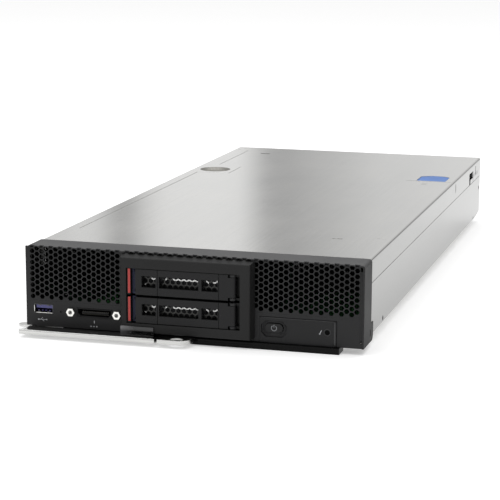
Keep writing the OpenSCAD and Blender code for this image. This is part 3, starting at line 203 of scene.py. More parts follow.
# lanced slots near the cover's front and rear edges, and the slit before the release pad: x, d
LANCED = (((31.5, 39.7), (428.6, 431.4)), ((177.2, 183.8), (75.8, 77.2)),
          ((177.5, 212.3), (323.0, 324.2)))
# keyways and slots in both side walls: d, z
KEYWAYS = (((409, 450), (37.4, 40.2)), ((421, 427), (34.0, 37.6)), ((334, 337), (39.6, 45.4)))
# narrow slots in the bezel's side flanges, where the chassis's hooks come through: d, z
HOOK_SLOTS = (((13.9, 15.3), (1.6, 4.9)), ((2.8, 4.2), (-0.3, 3.8)), ((15.9, 17.3), (12.4, 14.9)))
# webs of a drive's screen that face the light, painted bright as highlights: x, then z above the
# tray's underside
LIT_WEBS = (((96.9, 114.4), 9.35, 10.5), ((92.0, 93.0), 8.0, 10.9), ((83.2, 87.2), 9.0, 11.8),
             ((84.0, 85.0), 5.0, 6.0), ((78.1, 82.0), 5.9, 6.3), ((118.0, 119.5), 8.8, 10.6),
             ((122.3, 126.2), 9.2, 10.9))


def zinc_steel():
    # zinc-coated sheet steel, cold rolled: satin, with fine rolling lines front to back,
    # faint cloudy patches in the coating and a slightly warm grey
    material, tree, place, shader = new_material("zinc_coated_steel_sheet")
    clouds = grain(tree, place, (46, 90, 46), 3)
    lines = grain(tree, place, (0.7, 120, 0.7), 2)
    fine = grain(tree, place, (0.9, 6, 0.9), 3)
    colour = mixed(tree, remap(tree, clouds, 0, 1), linear("C6C6C4"), linear("D0CFCC"))
    colour = mixed(tree, remap(tree, lines, 0, 0.35), colour, linear("BBBBB8"))
    # the upright sides are painted darker than the cover's top, as painted shade
    upright = either(tree, *[within(tree, place, x=wall, z=(-1, TOP - 0.6))
                             for wall in (RIGHT_WALL, LEFT_WALL)])
    colour = mixed(tree, upright, colour, linear("787876"))
    # pressed marks catch a little shade
    marks = either(tree, *[
        within(tree, place, x=(x - half, x + half), d=(d - 2 * half, d + 2 * half),
               z=(TOP - 0.3, TOP + 1)) for x, d, half in PRESSED])
    colour = mixed(tree, maths(tree, "MULTIPLY", marks, 0.35), colour, linear("6E6E6C"))
    # lanced slots look straight into the shade under the skin
    slots = either(tree, *[within(tree, place, x=x, d=d, z=(TOP - 2, TOP + 1)) for x, d in LANCED])
    colour = mixed(tree, maths(tree, "MULTIPLY", slots, 0.85), colour, linear("181818"))
    # the keyways' cut edges and insides are in shade, in the cover's flange and the wall alike
    ways = either(tree, *[within(tree, place, x=wall, d=d, z=z)
                          for wall in ((WIDTH - 3, WIDTH + 5), LEFT_WALL) for d, z in KEYWAYS])
    colour = mixed(tree, ways, colour, linear("0A0A0A"))
    rough = maths(tree, "ADD", remap(tree, clouds, 0.1, 0.14), remap(tree, fine, -0.02, 0.03))
    set_links(tree, shader, colour=colour, rough=rough,
              normal=bump(tree, lines, 0.002, rounded(tree, 0.35)))
    shader.inputs["Metallic"].default_value = 1.0
    return material


def inner_zinc():
    # the same sheet inside the front, rougher, and painted dark as painted shade
    material, tree, place, shader = new_material("zinc_steel_inside_front")
    clouds = grain(tree, place, (20, 20, 20), 3)
    shaded = mixed(tree, remap(tree, clouds, 0, 1), linear("2A2A2A"), linear("3A3A39"))
    set_links(tree, shader, colour=shaded, rough=remap(tree, clouds, 0.45, 0.6))
    shader.inputs["Metallic"].default_value = 1.0
    return material


def powder_coat(name, code, lighter, rough=0.44, shine=0.3):
    # black polyester powder coat on sheet steel: matte, with a fine orange-peel skin; its top is
    # painted lighter, as painted light from above, and faces behind the front are painted black, as
    # painted shade
    material, tree, place, shader = new_material(name)
    peel = grain(tree, place, (0.6, 0.6, 0.6), 2)
    patches = grain(tree, place, (28, 28, 28), 3)
    colour = mixed(tree, remap(tree, patches, 0, 1), linear(code), linear(lighter))
    # the top is painted a soft grey, as painted light from above
    rim = within(tree, place, z=(TOP - 0.6, TOP + 1))
    colour = mixed(tree, maths(tree, "MULTIPLY", rim, 0.8), colour, linear("3E3E3F"))
    # faces behind the front are painted black, as painted shade
    behind = within(tree, place, x=(1.35, WIDTH - 1.35), d=(0.25, 30), z=(-10, TOP - 1.3))
    colour = mixed(tree, maths(tree, "MULTIPLY", behind, 0.9), colour, linear("020202"))
    # the hook slots in the outer side flanges are painted black, as painted shade
    hooks = either(tree, *[within(tree, place, d=d, z=z) for d, z in HOOK_SLOTS])
    outsides = ((WIDTH - 0.4, WIDTH + 1), (-1, 0.4))
    flanges = either(tree, *[within(tree, place, x=x) for x in outsides])
    colour = mixed(tree, maths(tree, "MULTIPLY", hooks, flanges), colour, linear("000000"))
    set_links(tree, shader, colour=colour, rough=remap(tree, patches, rough - 0.03, rough + 0.04),
              normal=bump(tree, peel, 0.014, rounded(tree, 0.3)))
    soften(shader, shine)
    return material


def moulded(name, code, rough=0.5, spark=0.02, shine=0.25, dark=(), painted=()):
    # moulded ABS with a spark-eroded mould texture: fine matte grain, soft highlights on its edges;
    # `dark` boxes lie in deep shade between parts; `painted` ones get another colour, moulded in
    # except on the tray's hinge lugs, where it is painted light
    material, tree, place, shader = new_material(name)
    skin = grain(tree, place, (0.35, 0.35, 0.35), 3)
    flow = grain(tree, place, (18, 18, 18), 2)
    darker = [c * 0.86 for c in linear(code)[:3]] + [1]
    colour = mixed(tree, remap(tree, flow, 0, 1), linear(code), darker)
    for limits in dark:
        colour = mixed(tree, within(tree, place, **limits), colour, linear("030303"))
    for limits, other in painted:
        colour = mixed(tree, within(tree, place, **limits), colour, linear(other))
    set_links(tree, shader, colour=colour, rough=remap(tree, skin, rough - 0.05, rough + 0.06),
              normal=bump(tree, skin, spark, rounded(tree, 0.25)))
    soften(shader, shine)
    return material


def gloss(name, code, rough=0.12, sheen=None):
    # polished acrylic or ABS: clear sharp reflections with the faintest ripple; on the nameplate
    # a grey colour comes in towards the upper left corner, as a painted reflection
    material, tree, place, shader = new_material(name)
    ripple = grain(tree, place, (9, 9, 9), 1)
    if sheen:
        low, high = measured("nameplate")
        axes = add(tree, "SeparateXYZ", {0: place})
        across = remap(tree, axes.outputs[0], 1, 0, (LEFT + low.x * MM, LEFT + (low.x + 9) * MM))
        upward = remap(tree, axes.outputs[2], 0.2, 1, (BASE + low.z * MM, BASE + high.z * MM))
        colour = mixed(tree, maths(tree, "MULTIPLY", across, upward), linear(code), linear(sheen))
        set_links(tree, shader, colour=colour)
    else:
        shader.inputs["Base Color"].default_value = linear(code)
    set_links(tree, shader, rough=remap(tree, ripple, rough, rough + 0.06),
              normal=bump(tree, ripple, 0.004, rounded(tree, 0.25)))
    shader.inputs["Coat Weight"].default_value = 0.4
    return material


def metal(name, code, rough, spacing, depth=0.004, edge=0.2):
    # bare or plated metal: its grain is drawn along the direction that it was rolled or turned
    material, tree, place, shader = new_material(name)
    lines = grain(tree, place, spacing, 3)
    darker = [c * 0.82 for c in linear(code)[:3]] + [1]
    set_links(tree, shader, colour=mixed(tree, remap(tree, lines, 0, 1), linear(code), darker),
              rough=remap(tree, lines, rough - 0.04, rough + 0.06),
              normal=bump(tree, lines, depth, rounded(tree, edge)))
    shader.inputs["Metallic"].default_value = 1.0
    return material


def drive_screen(name, bottom):
    # perforated steel screen in a drive's windows, painted dark as shade: only the webs that face
    # the light through the windows' upper part are painted bright, as painted highlights
    material, tree, place, shader = new_material(name)
    skin = grain(tree, place, (1.5, 1.5, 1.5), 2)
    bright = either(tree, *[within(tree, place, x=x, z=(bottom + low, bottom + high))
                            for x, low, high in LIT_WEBS])
    shaded = mixed(tree, remap(tree, skin, 0, 1), linear("2E2E2D"), linear("444443"))
    set_links(tree, shader, colour=mixed(tree, bright, shaded, linear("F2F2F0")),
              rough=remap(tree, skin, 0.28, 0.42))
    # the webs painted as highlights are made non-metal, so they stay bright from every side
    tree.links.new(maths(tree, "SUBTRACT", 1.0, bright), shader.inputs["Metallic"])
    return material


def circuit_board():
    # glass-fibre board under green solder mask: copper runs show as slightly lighter, raised bands
    material, tree, place, shader = new_material("green_solder_mask_board")
    runs = add(tree, "TexBrick", {
        "Vector": place, "Scale": 1.0, "Brick Width": 0.011, "Row Height": 0.0035,
        "Mortar Size": 0.0006, "Color1": linear("1D5A33"), "Color2": linear("174B2A"),
        "Mortar": linear("0E3A1E")})
    weave = grain(tree, place, (1.2, 1.2, 1.2), 2)
    # near the front connectors the board is painted a brighter green, as painted light through the
    # grille
    lit_front = either(tree, *[within(tree, place, x=x, d=(0, 110)) for x in ((30, 64), (166, 213))])
    green = mixed(tree, maths(tree, "MULTIPLY", lit_front, 0.8), runs.outputs["Color"], linear("45904F"))
    set_links(tree, shader, colour=green, rough=remap(tree, weave, 0.28, 0.4),
              normal=bump(tree, runs.outputs["Fac"], -0.03))
    return material


def print_ink(name, code):
    # pad-printed ink: flat and slightly rough, a little uneven where the pad lifted
    material, tree, place, shader = new_material(name)
    uneven = grain(tree, place, (0.4, 0.4, 0.4), 2)
    darker = [c * 0.7 for c in linear(code)[:3]] + [1]
    set_links(tree, shader, colour=mixed(tree, remap(tree, uneven, 0, 1), linear(code), darker),
              rough=remap(tree, uneven, 0.5, 0.7))
    return material


# the opening of the two trays, both undersides, and the front of the surround
BAY_LOW, BAY_HIGH = measured("lower_carrier")[0], measured("upper_carrier")[1]
TRAYS = {"lower": measured("lower_carrier")[0].z, "upper": measured("upper_carrier")[0].z}
BLOCK_FRONT = measured("drive_bezel")[0].y
# across a tray's front: its red strip, the navy recess beside the latch, the lugs at the handle's
# hinge and the end of the tray past them
STRIP, NAVY, LUGS, TRAY_END = (69.35, 70.85), (71.3, 73.4), (132.5, 137.4), (137.4, 142)

STEEL = zinc_steel()
COAT = powder_coat("black_powder_coat", "141415", "1B1B1C")
# a darker, less shiny copy of the coat for the bezel's outer side flanges, as painted shade
SIDE_COAT = powder_coat("black_powder_coat_shaded_sides", "0E0E0F", "171718", 0.5, 0.12)
# the slits round the trays, and the wider gap at their left, are in deep shade
slits = dict(x=(BAY_LOW.x - 1.1, BAY_HIGH.x + 0.6), z=(BAY_LOW.z - 0.6, BAY_HIGH.z + 0.6),
             d=(BLOCK_FRONT + 0.4, 30))
gap = dict(x=(BAY_LOW.x - 1.0, BAY_LOW.x), z=(BAY_LOW.z - 0.4, BAY_HIGH.z + 0.3), d=(-9, 30))
BLOCK = moulded("black_drive_surround_abs", "191919", dark=[slits, gap])
# the tray's hinge lugs are painted lighter than the tray, as painted light in their recess
TRAY = moulded("black_drive_tray_abs", "151515", 0.48,
               dark=[dict(d=(BLOCK_FRONT + 0.85, 300)), dict(x=TRAY_END)],
               painted=[(dict(x=NAVY, d=(BLOCK_FRONT - 1, 1.5)), "2A2D42"),
                        (dict(x=LUGS, d=(BLOCK_FRONT - 1, -2.5)), "242425")])
CATCH = moulded("black_drive_latch_abs", "161617", 0.46)
ABS = moulded("black_abs_moulding", "161617")
CONTROL = moulded("black_control_panel_abs", "1A1A1B", 0.42)
# a lighter copy of the panel's ABS for its bead and the lens ring, as painted highlight on raised
# edges
EDGE = moulded("polished_panel_edge_abs_painted_highlight", "262627", 0.35, 0.01, 0.5)
RAIL = moulded("black_enamelled_rail", "050505", 0.25, 0.004, 0.14)
INK = print_ink("pale_grey_pad_print", "BFC1C4")
# a darker copy of the shell's plated steel for the shell and its springs, as painted shade
SHELL = metal("usb_shell_tinplate_painted_shade", "5C5C5E", 0.3, (1.2, 1.2, 1.2), 0.002)
NICKEL = metal("nickel_plated_steel", "EDECE8", 0.16, (1.2, 1.2, 1.2), 0.002)
# by material slot, then by node where a piece differs from its slot
FINISH = {
    "zinc_steel": STEEL,
    "black_steel": COAT,
    "black_plastic": ABS,
    "gloss_black": gloss("polished_black_acrylic", "040405", 0.1, "6C6C6E"),
    "navy_plastic": TRAY,
    "blue_plastic": moulded("blue_touch_point_abs", "4C7BC6", 0.4),
    "usb_blue": gloss("blue_violet_insulator", "34327A", 0.3),
    "bright_steel": NICKEL,
    "lever_steel": metal("bright_stainless_strip", "D2D2D0", 0.2, (40, 0.5, 0.5), 0.003, 0.4),
    "aluminium": metal("extruded_aluminium", "C4C6C9", 0.3, (0.4, 30, 0.8)),
    "drive_metal": metal("cast_drive_housing", "3A3A3C", 0.5, (1.5, 1.5, 1.5), 0.01),
    "board_green": circuit_board(),
    "lens_black": moulded("smoked_lens", "010101", 0.3, 0.002, 0.05),
}
OWN_FINISH = {"drive_bezel": BLOCK, "control_panel": CONTROL, "power_button": CONTROL,
              "front_rail": RAIL, "drive_cage": inner_zinc(), "usb_shell": SHELL,
              "cover_pins": metal("oiled_steel_pin", "4A4A4A", 0.4, (0.8, 0.8, 0.8)),
              "thumb_recess": metal("pressed_steel_dish", "A9A7A2", 0.5, (0.7, 40, 0.7))}
for level, bottom in TRAYS.items():
    # the strip is red down to its foot, which is in the shade of the surround
    red = dict(x=STRIP, z=(bottom + 0.85, bottom + 30))
    OWN_FINISH[level + "_strip"] = moulded(level + "_touch_point_abs", "070707", 0.4,
                                           painted=[(red, "A8403C")])
    OWN_FINISH[level + "_mesh"] = drive_screen(level + "_screen_painted_light_and_shade", bottom)
    OWN_FINISH[level + "_handle"] = CATCH
    OWN_FINISH[level + "_latch"] = CATCH
for part in frame["record"]["subparts"]:
    shown = nodes[part["node"]]
    shown.data.materials.clear()
    shown.data.materials.append(OWN_FINISH.get(part["node"]) or FINISH[part["material_slot"]])
    shown.data.polygons.foreach_set("material_index", [0] * len(shown.data.polygons))

# the bezel's outer side flanges get a darker, less shiny copy of the coat than its front and top, as
# painted shade
FLANGE = 0.6
bezel = nodes["bezel"].data
bezel.materials.append(SIDE_COAT)
for face in bezel.polygons:
    if abs(face.normal.x) > 0.9 and not FLANGE < (face.center.x - LEFT) / MM < WIDTH - FLANGE:
        face.material_index = 1

# ---- modelling helpers ----


def deselect():
    """Leaves edit mode and clears the selection."""
    if bpy.context.mode != "OBJECT":
        bpy.ops.object.mode_set(mode="OBJECT")
    bpy.ops.object.select_all(action="DESELECT")


def only(piece):
    """Makes a piece the only selected one."""
    deselect()
    piece.select_set(True)
    bpy.context.view_layer.objects.active = piece
    return piece


def bar(low, high, edge=0.1):
    """A bar between two corners given as in spot(), with rounded edges."""
    first, last = spot(*low), spot(*high)
    deselect()
    bpy.ops.mesh.primitive_cube_add(size=1, location=(first + last) / 2, scale=last - first)
    piece = bpy.context.object
    bpy.ops.object.transform_apply(location=True, rotation=True, scale=True)
    bpy.ops.object.mode_set(mode="EDIT")
    bpy.ops.mesh.select_all(action="SELECT")
    bpy.ops.mesh.bevel(offset=edge * MM, segments=2)
    bpy.ops.object.mode_set(mode="OBJECT")
    return piece


# which way a post looks, and the turn that points it there
AIM = {"front": (Vector((0, -1, 0)), (math.pi / 2, 0, 0)),
       "rear": (Vector((0, 1, 0)), (-math.pi / 2, 0, 0))}


def post(base, radius, tall, aim, steps=(), sides=24):
    """A round or many-sided post on `base`; each step insets its end face, then draws it out."""
    direction, turn = AIM[aim]
    deselect()
    bpy.ops.mesh.primitive_cylinder_add(
        vertices=sides, radius=radius * MM, depth=tall * MM, rotation=turn,
        location=spot(*base) + direction * tall * MM / 2)
    piece = bpy.context.object
    bpy.ops.object.transform_apply(location=True, rotation=True, scale=True)
    return worked(piece, direction, steps)


def worked(piece, direction, steps):
    """Insets the face that looks along `direction` and draws it out or sinks it, step by step."""
    only(piece)
    ahead = max(face.center.dot(direction) for face in piece.data.polygons)
    for face in piece.data.polygons:
        face.select = face.normal.dot(direction) > 0.9 and face.center.dot(direction) > ahead - 1e-6
    bpy.ops.object.mode_set(mode="EDIT")
    bpy.ops.mesh.select_mode(type="FACE")
    for inset, out in steps:
        if inset:
            bpy.ops.mesh.inset(thickness=inset * MM)
        if out:
            bpy.ops.mesh.extrude_region_move(TRANSFORM_OT_translate={"value": direction * out * MM})
    bpy.ops.object.mode_set(mode="OBJECT")
    return piece


def arc(centre, radius, wide, tall, start, sweep, steps=20):
    """An arc raised on the front, spun from a small square; angles in degrees from the right."""
    direction = AIM["front"][0]
    across, upward = Vector((1, 0, 0)), Vector((0, 0, 1))
    out = math.cos(math.radians(start)) * across + math.sin(math.radians(start)) * upward
    middle = spot(*centre)
    deselect()
    bpy.ops.mesh.primitive_plane_add(size=1, location=(0, 0, 0))
    piece = bpy.context.object
    basis = Matrix((out * wide * MM, direction * tall * MM, out.cross(direction)))
    first = middle + out * radius * MM + direction * tall * MM / 2
    piece.matrix_world = Matrix.Translation(first) @ basis.transposed().to_4x4()
    bpy.ops.object.transform_apply(location=True, rotation=True, scale=True)
    bpy.ops.object.mode_set(mode="EDIT")
    bpy.ops.mesh.select_all(action="SELECT")
    bpy.ops.mesh.spin(steps=steps, angle=math.radians(sweep), center=middle,
                      axis=upward.cross(across))
    bpy.ops.mesh.select_all(action="SELECT")
    bpy.ops.mesh.fill_holes(sides=4)
    bpy.ops.mesh.normals_make_consistent(inside=False)
    bpy.ops.object.mode_set(mode="OBJECT")
    return piece


def repeated(piece, step, count):
    """Copies a piece along a step (x, d, z) in millimetres, as one mesh."""
    only(piece)
    rows = piece.modifiers.new("row", "ARRAY")
    rows.use_relative_offset = False
    rows.use_constant_offset = True
    rows.constant_offset_displace = Vector(step) * MM
    rows.count = count
    bpy.ops.object.modifier_apply(modifier=rows.name)
    return piece


def moved_copy(piece, step):
    """A copy of a piece with its own mesh, `step` (x, d, z) millimetres away."""
    twin = piece.copy()
    twin.data = piece.data.copy()
    bpy.context.scene.collection.objects.link(twin)
    twin.data.transform(Matrix.Translation(Vector(step) * MM))
    return twin


def joined(pieces):
    """Several pieces as one mesh."""
    only(pieces[0])
    for piece in pieces:
        piece.select_set(True)
    bpy.ops.object.join()
    return pieces[0]


def turned(piece, degrees, centre, axis):
    """Turns a finished mesh about a line through `centre`."""
    middle = spot(*centre)
    turn = Matrix.Rotation(math.radians(degrees), 4, axis)
    piece.data.transform(Matrix.Translation(middle) @ turn @ Matrix.Translation(-middle))
    return piece


def settle(piece, name, body, material):
    """Names a finished piece, shades it and lets it ride on its body."""
    only(piece)
    bpy.ops.object.transform_apply(location=True, rotation=True, scale=True)
    bpy.ops.object.shade_smooth_by_angle(angle=math.radians(35))
    piece.name = name
    piece.data.name = name
    piece.data.materials.clear()
    piece.data.materials.append(material)
    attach(piece, body)
    return piece


# ---- front left: USB socket, console socket and their printed signs ----

# four contacts on the tongue, the first at its left end
USB_CONTACTS, USB_PITCH = 4, 2.43
usb_low, usb_high, usb_x, usb_z = faced("usb_shell")
tongue_front = measured("usb_tongue")[0].y
contact = bar((usb_x - 4.2, tongue_front - 0.25, usb_z - 1.75),
              (usb_x - 3.1, tongue_front + 0.2, usb_z - 0.95), 0.08)
settle(repeated(contact, (USB_PITCH, 0, 0), USB_CONTACTS), "usb_contacts", "chassis",
       metal("violet_stained_contact", "4A4668", 0.35, (0.6, 0.6, 0.6), 0.002))
# the shell's flared edges, at the left and below, in bright nickel as painted highlights
LIP_WIDE, LIP_AHEAD, LIP_BEHIND = 0.4, 0.04, 0.3
lips = [bar((usb_low.x, usb_low.y - LIP_AHEAD, usb_low.z + 0.7),
            (usb_low.x + LIP_WIDE, usb_low.y + LIP_BEHIND, usb_high.z - 0.7), 0.1),
        bar((usb_low.x + 1.4, usb_low.y - LIP_AHEAD, usb_low.z),
            (usb_high.x - 0.6, usb_low.y + LIP_BEHIND, usb_low.z + LIP_WIDE), 0.1)]
settle(joined(lips), "usb_shell_lips", "chassis", NICKEL)
# spring tongues pressed inward from the shell's long walls
SPRING_X, SPRING_INSET = 3, 0.75
springs = [bar((x - 0.9, usb_low.y + 0.5, z - 0.3), (x + 0.9, usb_low.y + 0.9, z + 0.3), 0.12)
           for x in (usb_x - SPRING_X, usb_x + SPRING_X)
           for z in (usb_high.z - SPRING_INSET, usb_low.z + SPRING_INSET)]
settle(joined(springs), "usb_shell_springs", "chassis", SHELL)

# two rows of pins in the console socket, the upper one set a little to the right
PINS, PIN_PITCH, PIN_ROW = 14, 1.26, (0.3, 0, 1.55)
console_low, console_high, console_x, console_z = faced("console_connector")
pin = bar((console_x - 8.2, console_low.y + 0.9, console_z - 1.25),
          (console_x - 7.65, console_low.y + 2.4, console_z - 0.7), 0.08)
pins = repeated(pin, (PIN_PITCH, 0, 0), PINS)
settle(joined([pins, moved_copy(pins, PIN_ROW)]), "console_pins", "chassis",
       metal("tarnished_tin_pin", "5A5954", 0.45, (0.8, 0.8, 0.8)))
# the rim round its mouth: two long bars and two upright ones
RIM, RIM_AHEAD, RIM_BEHIND = 0.28, 0.35, 0.3
rim = [bar((console_low.x + 0.3, console_low.y - RIM_AHEAD, z - RIM),
           (console_high.x - 0.3, console_low.y + RIM_BEHIND, z + RIM), 0.2)
       for z in (console_low.z + 0.35, console_high.z - 0.35)]
rim += [bar((x - RIM, console_low.y - RIM_AHEAD, console_low.z + 0.2),
            (x + RIM, console_low.y + RIM_BEHIND, console_high.z - 0.2), 0.2)
        for x in (console_low.x + 0.45, console_high.x - 0.45)]
settle(joined(rim), "console_socket_rim", "chassis", ABS)

# a hexagon's corner reaches a little further sideways than half its height
HEX_CORNER = 0.35
INSERT_RADIUS, INSERT_SUNK, INSERT_TALL = 1.55, 1.9, 1.2
# a slot's half length and half height, and how far it leans, in degrees
SLOT_REACH, SLOT_HALF, SLOT_LEAN = 0.95, 0.22, -55
screws_low, screws_high = measured("jackscrews")
screw_z = (screws_low.z + screws_high.z) / 2
screw_xs = [screws_low.x + (screws_high.z - screws_low.z) / 2 + HEX_CORNER,
            screws_high.x - (screws_high.z - screws_low.z) / 2 - HEX_CORNER]
inserts = [post((x, screws_low.y + INSERT_SUNK, screw_z), INSERT_RADIUS, INSERT_TALL, "front",
                [(0.35, -0.25), (0.3, 0.2)], 20) for x in screw_xs]
settle(joined(inserts), "jackscrew_thread_inserts", "chassis",
       metal("turned_steel_thread", "7A7A78", 0.3, (0.4, 0.4, 0.4)))
# the slots are black bars on the inserts, standing in for the shade in the screws' slots as painted
# shade
slots = [turned(bar((x - SLOT_REACH, screws_low.y + 0.55, screw_z - SLOT_HALF),
                    (x + SLOT_REACH, screws_low.y + 1.0, screw_z + SLOT_HALF), 0.1),
                SLOT_LEAN, (x, 0, screw_z), "Y") for x in screw_xs]
settle(joined(slots), "jackscrew_slots", "chassis", ABS)

# depths that signs are printed on: the perforated face and the bezel's foot; and the ink's height
ON_FACE, ON_FOOT = 0, measured("bezel")[0].y
INK_TALL = 0.06


def mark(low, high, ahead):
    """A printed bar from (x, z) to (x, z) on the surface at depth `ahead`."""
    return bar((low[0], ahead - INK_TALL, low[1]), (high[0], ahead, high[1]), 0.02)


# network sign: a stem on the face, over three boxes on the foot
NETWORK_BOXES = (42.9, 44.8, 46.7)
network = [mark((44.6, 1.6), (45.0, 3.3), ON_FACE)]
for x in NETWORK_BOXES:
    network.append(mark((x - 0.33, -0.5), (x + 0.33, 0.15), ON_FOOT))
settle(joined(network), "network_symbol", "chassis", INK)
# USB sign: a line from a dot to an arrowhead, with two slanted branches (x, lean in degrees)
LINE_Z, BRANCH_Z, BRANCH_LONG = 1.83, 1.85, 2.0
BRANCHES = ((9.2, -35), (10.0, 35))
trident = [mark((8.1, 1.72), (13.0, 1.95), ON_FACE),
           post((8.0, ON_FACE, LINE_Z), 0.5, INK_TALL, "front", sides=12),
           post((13.3, ON_FACE, LINE_Z), 0.55, INK_TALL, "front", sides=3)]
for x, lean in BRANCHES:
    branch = mark((x, 1.75), (x + BRANCH_LONG, 1.95), ON_FACE)
    trident.append(turned(branch, lean, (x, ON_FACE, BRANCH_Z), "Y"))
settle(joined(trident), "usb_symbol", "chassis", INK)

# ---- front right: control panel ----

button_low, _, button_x, button_z = faced("power_button")
panel_low, panel_high = measured("control_panel")
_, _, lens_x, lens_z = faced("status_lens")
# power sign: a ring open at its top, with a stroke in the gap
SIGN_RADIUS, RING_START, RING_SWEEP, STROKE_HALF = 1.65, 125, 290, 0.16
power = [arc((button_x, button_low.y, button_z), SIGN_RADIUS, 0.3, INK_TALL, RING_START,
             RING_SWEEP),
         bar((button_x - STROKE_HALF, button_low.y - INK_TALL, button_z + 0.5),
             (button_x + STROKE_HALF, button_low.y, button_z + 2.1), 0.02)]
settle(joined(power), "power_symbol", "button",
       print_ink("grey_pad_print", "96989B"))
LENS_RADIUS = 1.95
settle(arc((lens_x, panel_low.y, lens_z), LENS_RADIUS, 0.4, 0.12, 0, 350, steps=28), "lens_ring",
       "chassis", EDGE)
# status sign: a leaning stroke with a short foot
STATUS_LEAN = 24
stroke = turned(mark((188.3, 5.2), (188.7, 7.6), panel_low.y), STATUS_LEAN, (188.5, 0, 6.4), "Y")
foot = turned(mark((187.6, 5.0), (188.4, 5.4), panel_low.y), STATUS_LEAN, (188.0, 0, 5.2), "Y")
settle(joined([stroke, foot]), "status_symbol", "chassis", INK)
# the panel's rolled right end and the thin bead along its top
ROLL_WIDE, BEAD_BEHIND = 1.6, 0.1
ridge = [bar((panel_high.x - ROLL_WIDE, panel_low.y - 0.4, panel_low.z + 0.4),
             (panel_high.x - 0.35, panel_low.y + BEAD_BEHIND, panel_high.z - 0.4), 0.3),
         bar((panel_low.x + 0.6, panel_low.y - 0.1, panel_high.z - 0.55),
             (panel_high.x - ROLL_WIDE, panel_low.y + BEAD_BEHIND, panel_high.z - 0.2), 0.08)]
settle(joined(ridge), "control_panel_bead", "chassis", EDGE)
# half rings at both ends of the button's oval well
WELL_HALF, WELL_RADIUS = 3.0, 4.1
well = [arc((button_x + side * WELL_HALF, panel_low.y, button_z), WELL_RADIUS, 0.35, 0.14, start,
            180, steps=14) for side, start in ((1, -90), (-1, 90))]
settle(joined(well), "button_well_bead", "chassis", CONTROL)

# ---- face: the strip that closes the right corner, and the rail's ribs ----

CORNER_TOP = 44.6  # just under the fold of the bezel's top
corner = bar((WIDTH - 2.75, 0.02, measured("bezel")[0].z + 4.5),
             (WIDTH - 0.9, 1.2, CORNER_TOP), 0.15)
settle(corner, "right_corner_strip", "chassis", COAT)
RIB_HEIGHTS, RIB_HALF = (0.7, 2.1, 3.4), 0.35
rail_low, rail_high = measured("front_rail")
ribs = [bar((rail_low.x + 0.4, rail_low.y - 0.22, rail_low.z + z - RIB_HALF),
            (rail_high.x - 0.5, rail_low.y + 0.2, rail_low.z + z + RIB_HALF), 0.18)
        for z in RIB_HEIGHTS]
settle(joined(ribs), "rail_ribs", "chassis", RAIL)

# ---- rear: panel screws ----

# round heads with a sunk drive, two on each side of the middle
HEAD_X, HEAD_HEIGHTS, HEAD_RADIUS, HEAD_TALL = 24, (9.5, 21.5), 2.5, 0.9
heads = [post((WIDTH / 2 + side * HEAD_X, REAR, z), HEAD_RADIUS, HEAD_TALL, "rear",
              [(0.35, 0.25), (0.7, -0.7)]) for side in (-1, 1) for z in HEAD_HEIGHTS]
settle(joined(heads), "rear_panel_screws", "chassis", NICKEL)

# ---- stage, light and camera ----


def stage_plane(name, size, place, material):
    """A square of the set, which isn't part of the object."""
    deselect()
    bpy.ops.mesh.primitive_plane_add(size=size, location=place)
    plane = bpy.context.object
    bpy.ops.object.transform_apply(location=True, rotation=True, scale=True)
    plane.name = name
    plane.data.materials.append(material)
    plane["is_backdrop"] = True


floor_finish, tree, place, shader = new_material("white_studio_floor")
shader.inputs["Base Color"].default_value = linear("F6F6F6")
shader.inputs["Roughness"].default_value = 0.9
shader.inputs["Specular IOR Level"].default_value = 0.0
# the sweep is lit from beneath as well, as a light table is, so that it stays white to the horizon
shader.inputs["Emission Color"].default_value = linear("FFFFFF")
shader.inputs["Emission Strength"].default_value = 0.32
stage_plane("studio_floor", 60, (0, 0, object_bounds()[0].z), floor_finish)

world = bpy.data.worlds.new("studio")
bpy.context.scene.world = world
world.use_nodes = True
tree = world.node_tree
tree.nodes.clear()
# direction of the ray, as an angle round the object from the rear (+Y) towards +X
ray = add(tree, "TexCoord", {}).outputs["Generated"]
xyz = add(tree, "SeparateXYZ", {0: ray})
angle = maths(tree, "ARCTAN2", xyz.outputs[0], xyz.outputs[1])
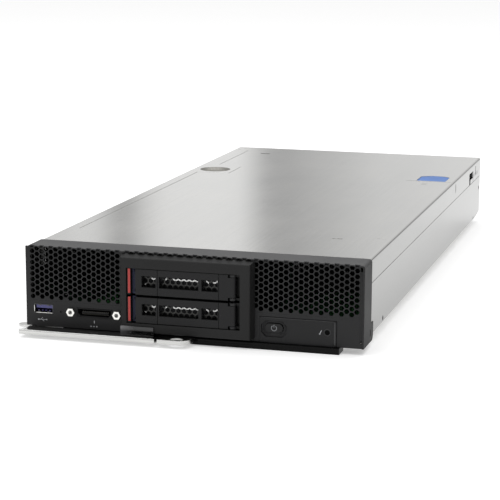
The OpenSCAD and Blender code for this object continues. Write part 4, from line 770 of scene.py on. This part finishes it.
# soft boxes and flags behind the set: light and dark upright bands that the cover mirrors, as
# (degrees, brightness)
BANDS = [(-25.0, 0.80), (-22.2, 0.86), (-21.6, 0.98), (-21.0, 0.92), (-20.4, 0.53), (-20.0, 0.48),
         (-19.5, 0.84), (-18.8, 1.05), (-16.2, 1.06), (-15.8, 0.85), (-15.3, 0.55), (-14.6, 0.54),
         (-13.0, 0.69), (-11.5, 0.84), (-9.0, 0.92), (-6.0, 0.95), (0.0, 0.8), (10.0, 0.72),
         (20.0, 0.68)]
FIRST, LAST = BANDS[0][0], BANDS[-1][0]
band = remap(tree, angle, 0.0, 1.0, (math.radians(FIRST), math.radians(LAST)))
ramp = add(tree, "ValToRGB", {"Fac": band})
while len(ramp.color_ramp.elements) < len(BANDS):
    ramp.color_ramp.elements.new(0.5)
for stop, (degrees, level) in zip(ramp.color_ramp.elements, BANDS):
    stop.position = (degrees - FIRST) / (LAST - FIRST)
    stop.color = (level, level, level, 1)
sky = add(tree, "Background", {"Color": ramp.outputs[0], "Strength": 0.9})
add(tree, "OutputWorld", {"Surface": sky.outputs[0]})


def soft_box(name, place, target, size, power):
    """A rectangular lamp of `size` metres and `power` watts that points from place to target."""
    light = bpy.data.lights.new(name, "AREA")
    light.shape = "RECTANGLE"
    light.size, light.size_y = size
    light.energy = power
    lamp = bpy.data.objects.new(name, light)
    bpy.context.scene.collection.objects.link(lamp)
    lamp.location = place
    lamp.rotation_mode = "QUATERNION"
    lamp.rotation_quaternion = (Vector(target) - Vector(place)).to_track_quat("-Z", "Y")


soft_box("top_box", place=(0.1, 0.0, 1.7), target=(0, 0, 0), size=(2.2, 2.2), power=19)

# a long lens that looks down a little, from the front and right; the standpoint is in metres,
# sensor and focal length are in millimetres, and the shifts are shares of the sensor
STANDPOINT = (0.31079, -1.19543, 0.25470)
SENSOR, FOCAL, SHIFT_X, SHIFT_Y = 36, 123.24, -0.0805, 0.0303
AZIMUTH, ELEVATION, ROLL = math.radians(14.48), math.radians(11.84), math.radians(0.52)
back = Vector((math.sin(AZIMUTH) * math.cos(ELEVATION), -math.cos(AZIMUTH) * math.cos(ELEVATION),
               math.sin(ELEVATION)))
right = Vector((math.cos(AZIMUTH), math.sin(AZIMUTH), 0))
up = back.cross(right)
right, up = (math.cos(ROLL) * right + math.sin(ROLL) * up,
             math.cos(ROLL) * up - math.sin(ROLL) * right)
lens = bpy.data.cameras.new("camera")
lens.sensor_width, lens.lens, lens.shift_x, lens.shift_y = SENSOR, FOCAL, SHIFT_X, SHIFT_Y
camera = bpy.data.objects.new("camera", lens)
bpy.context.scene.collection.objects.link(camera)
camera.matrix_world = Matrix.Translation(STANDPOINT) @ Matrix(
    (right, up, back)).transposed().to_4x4()
bpy.context.scene.camera = camera
bpy.context.scene.view_settings.view_transform = "Standard"
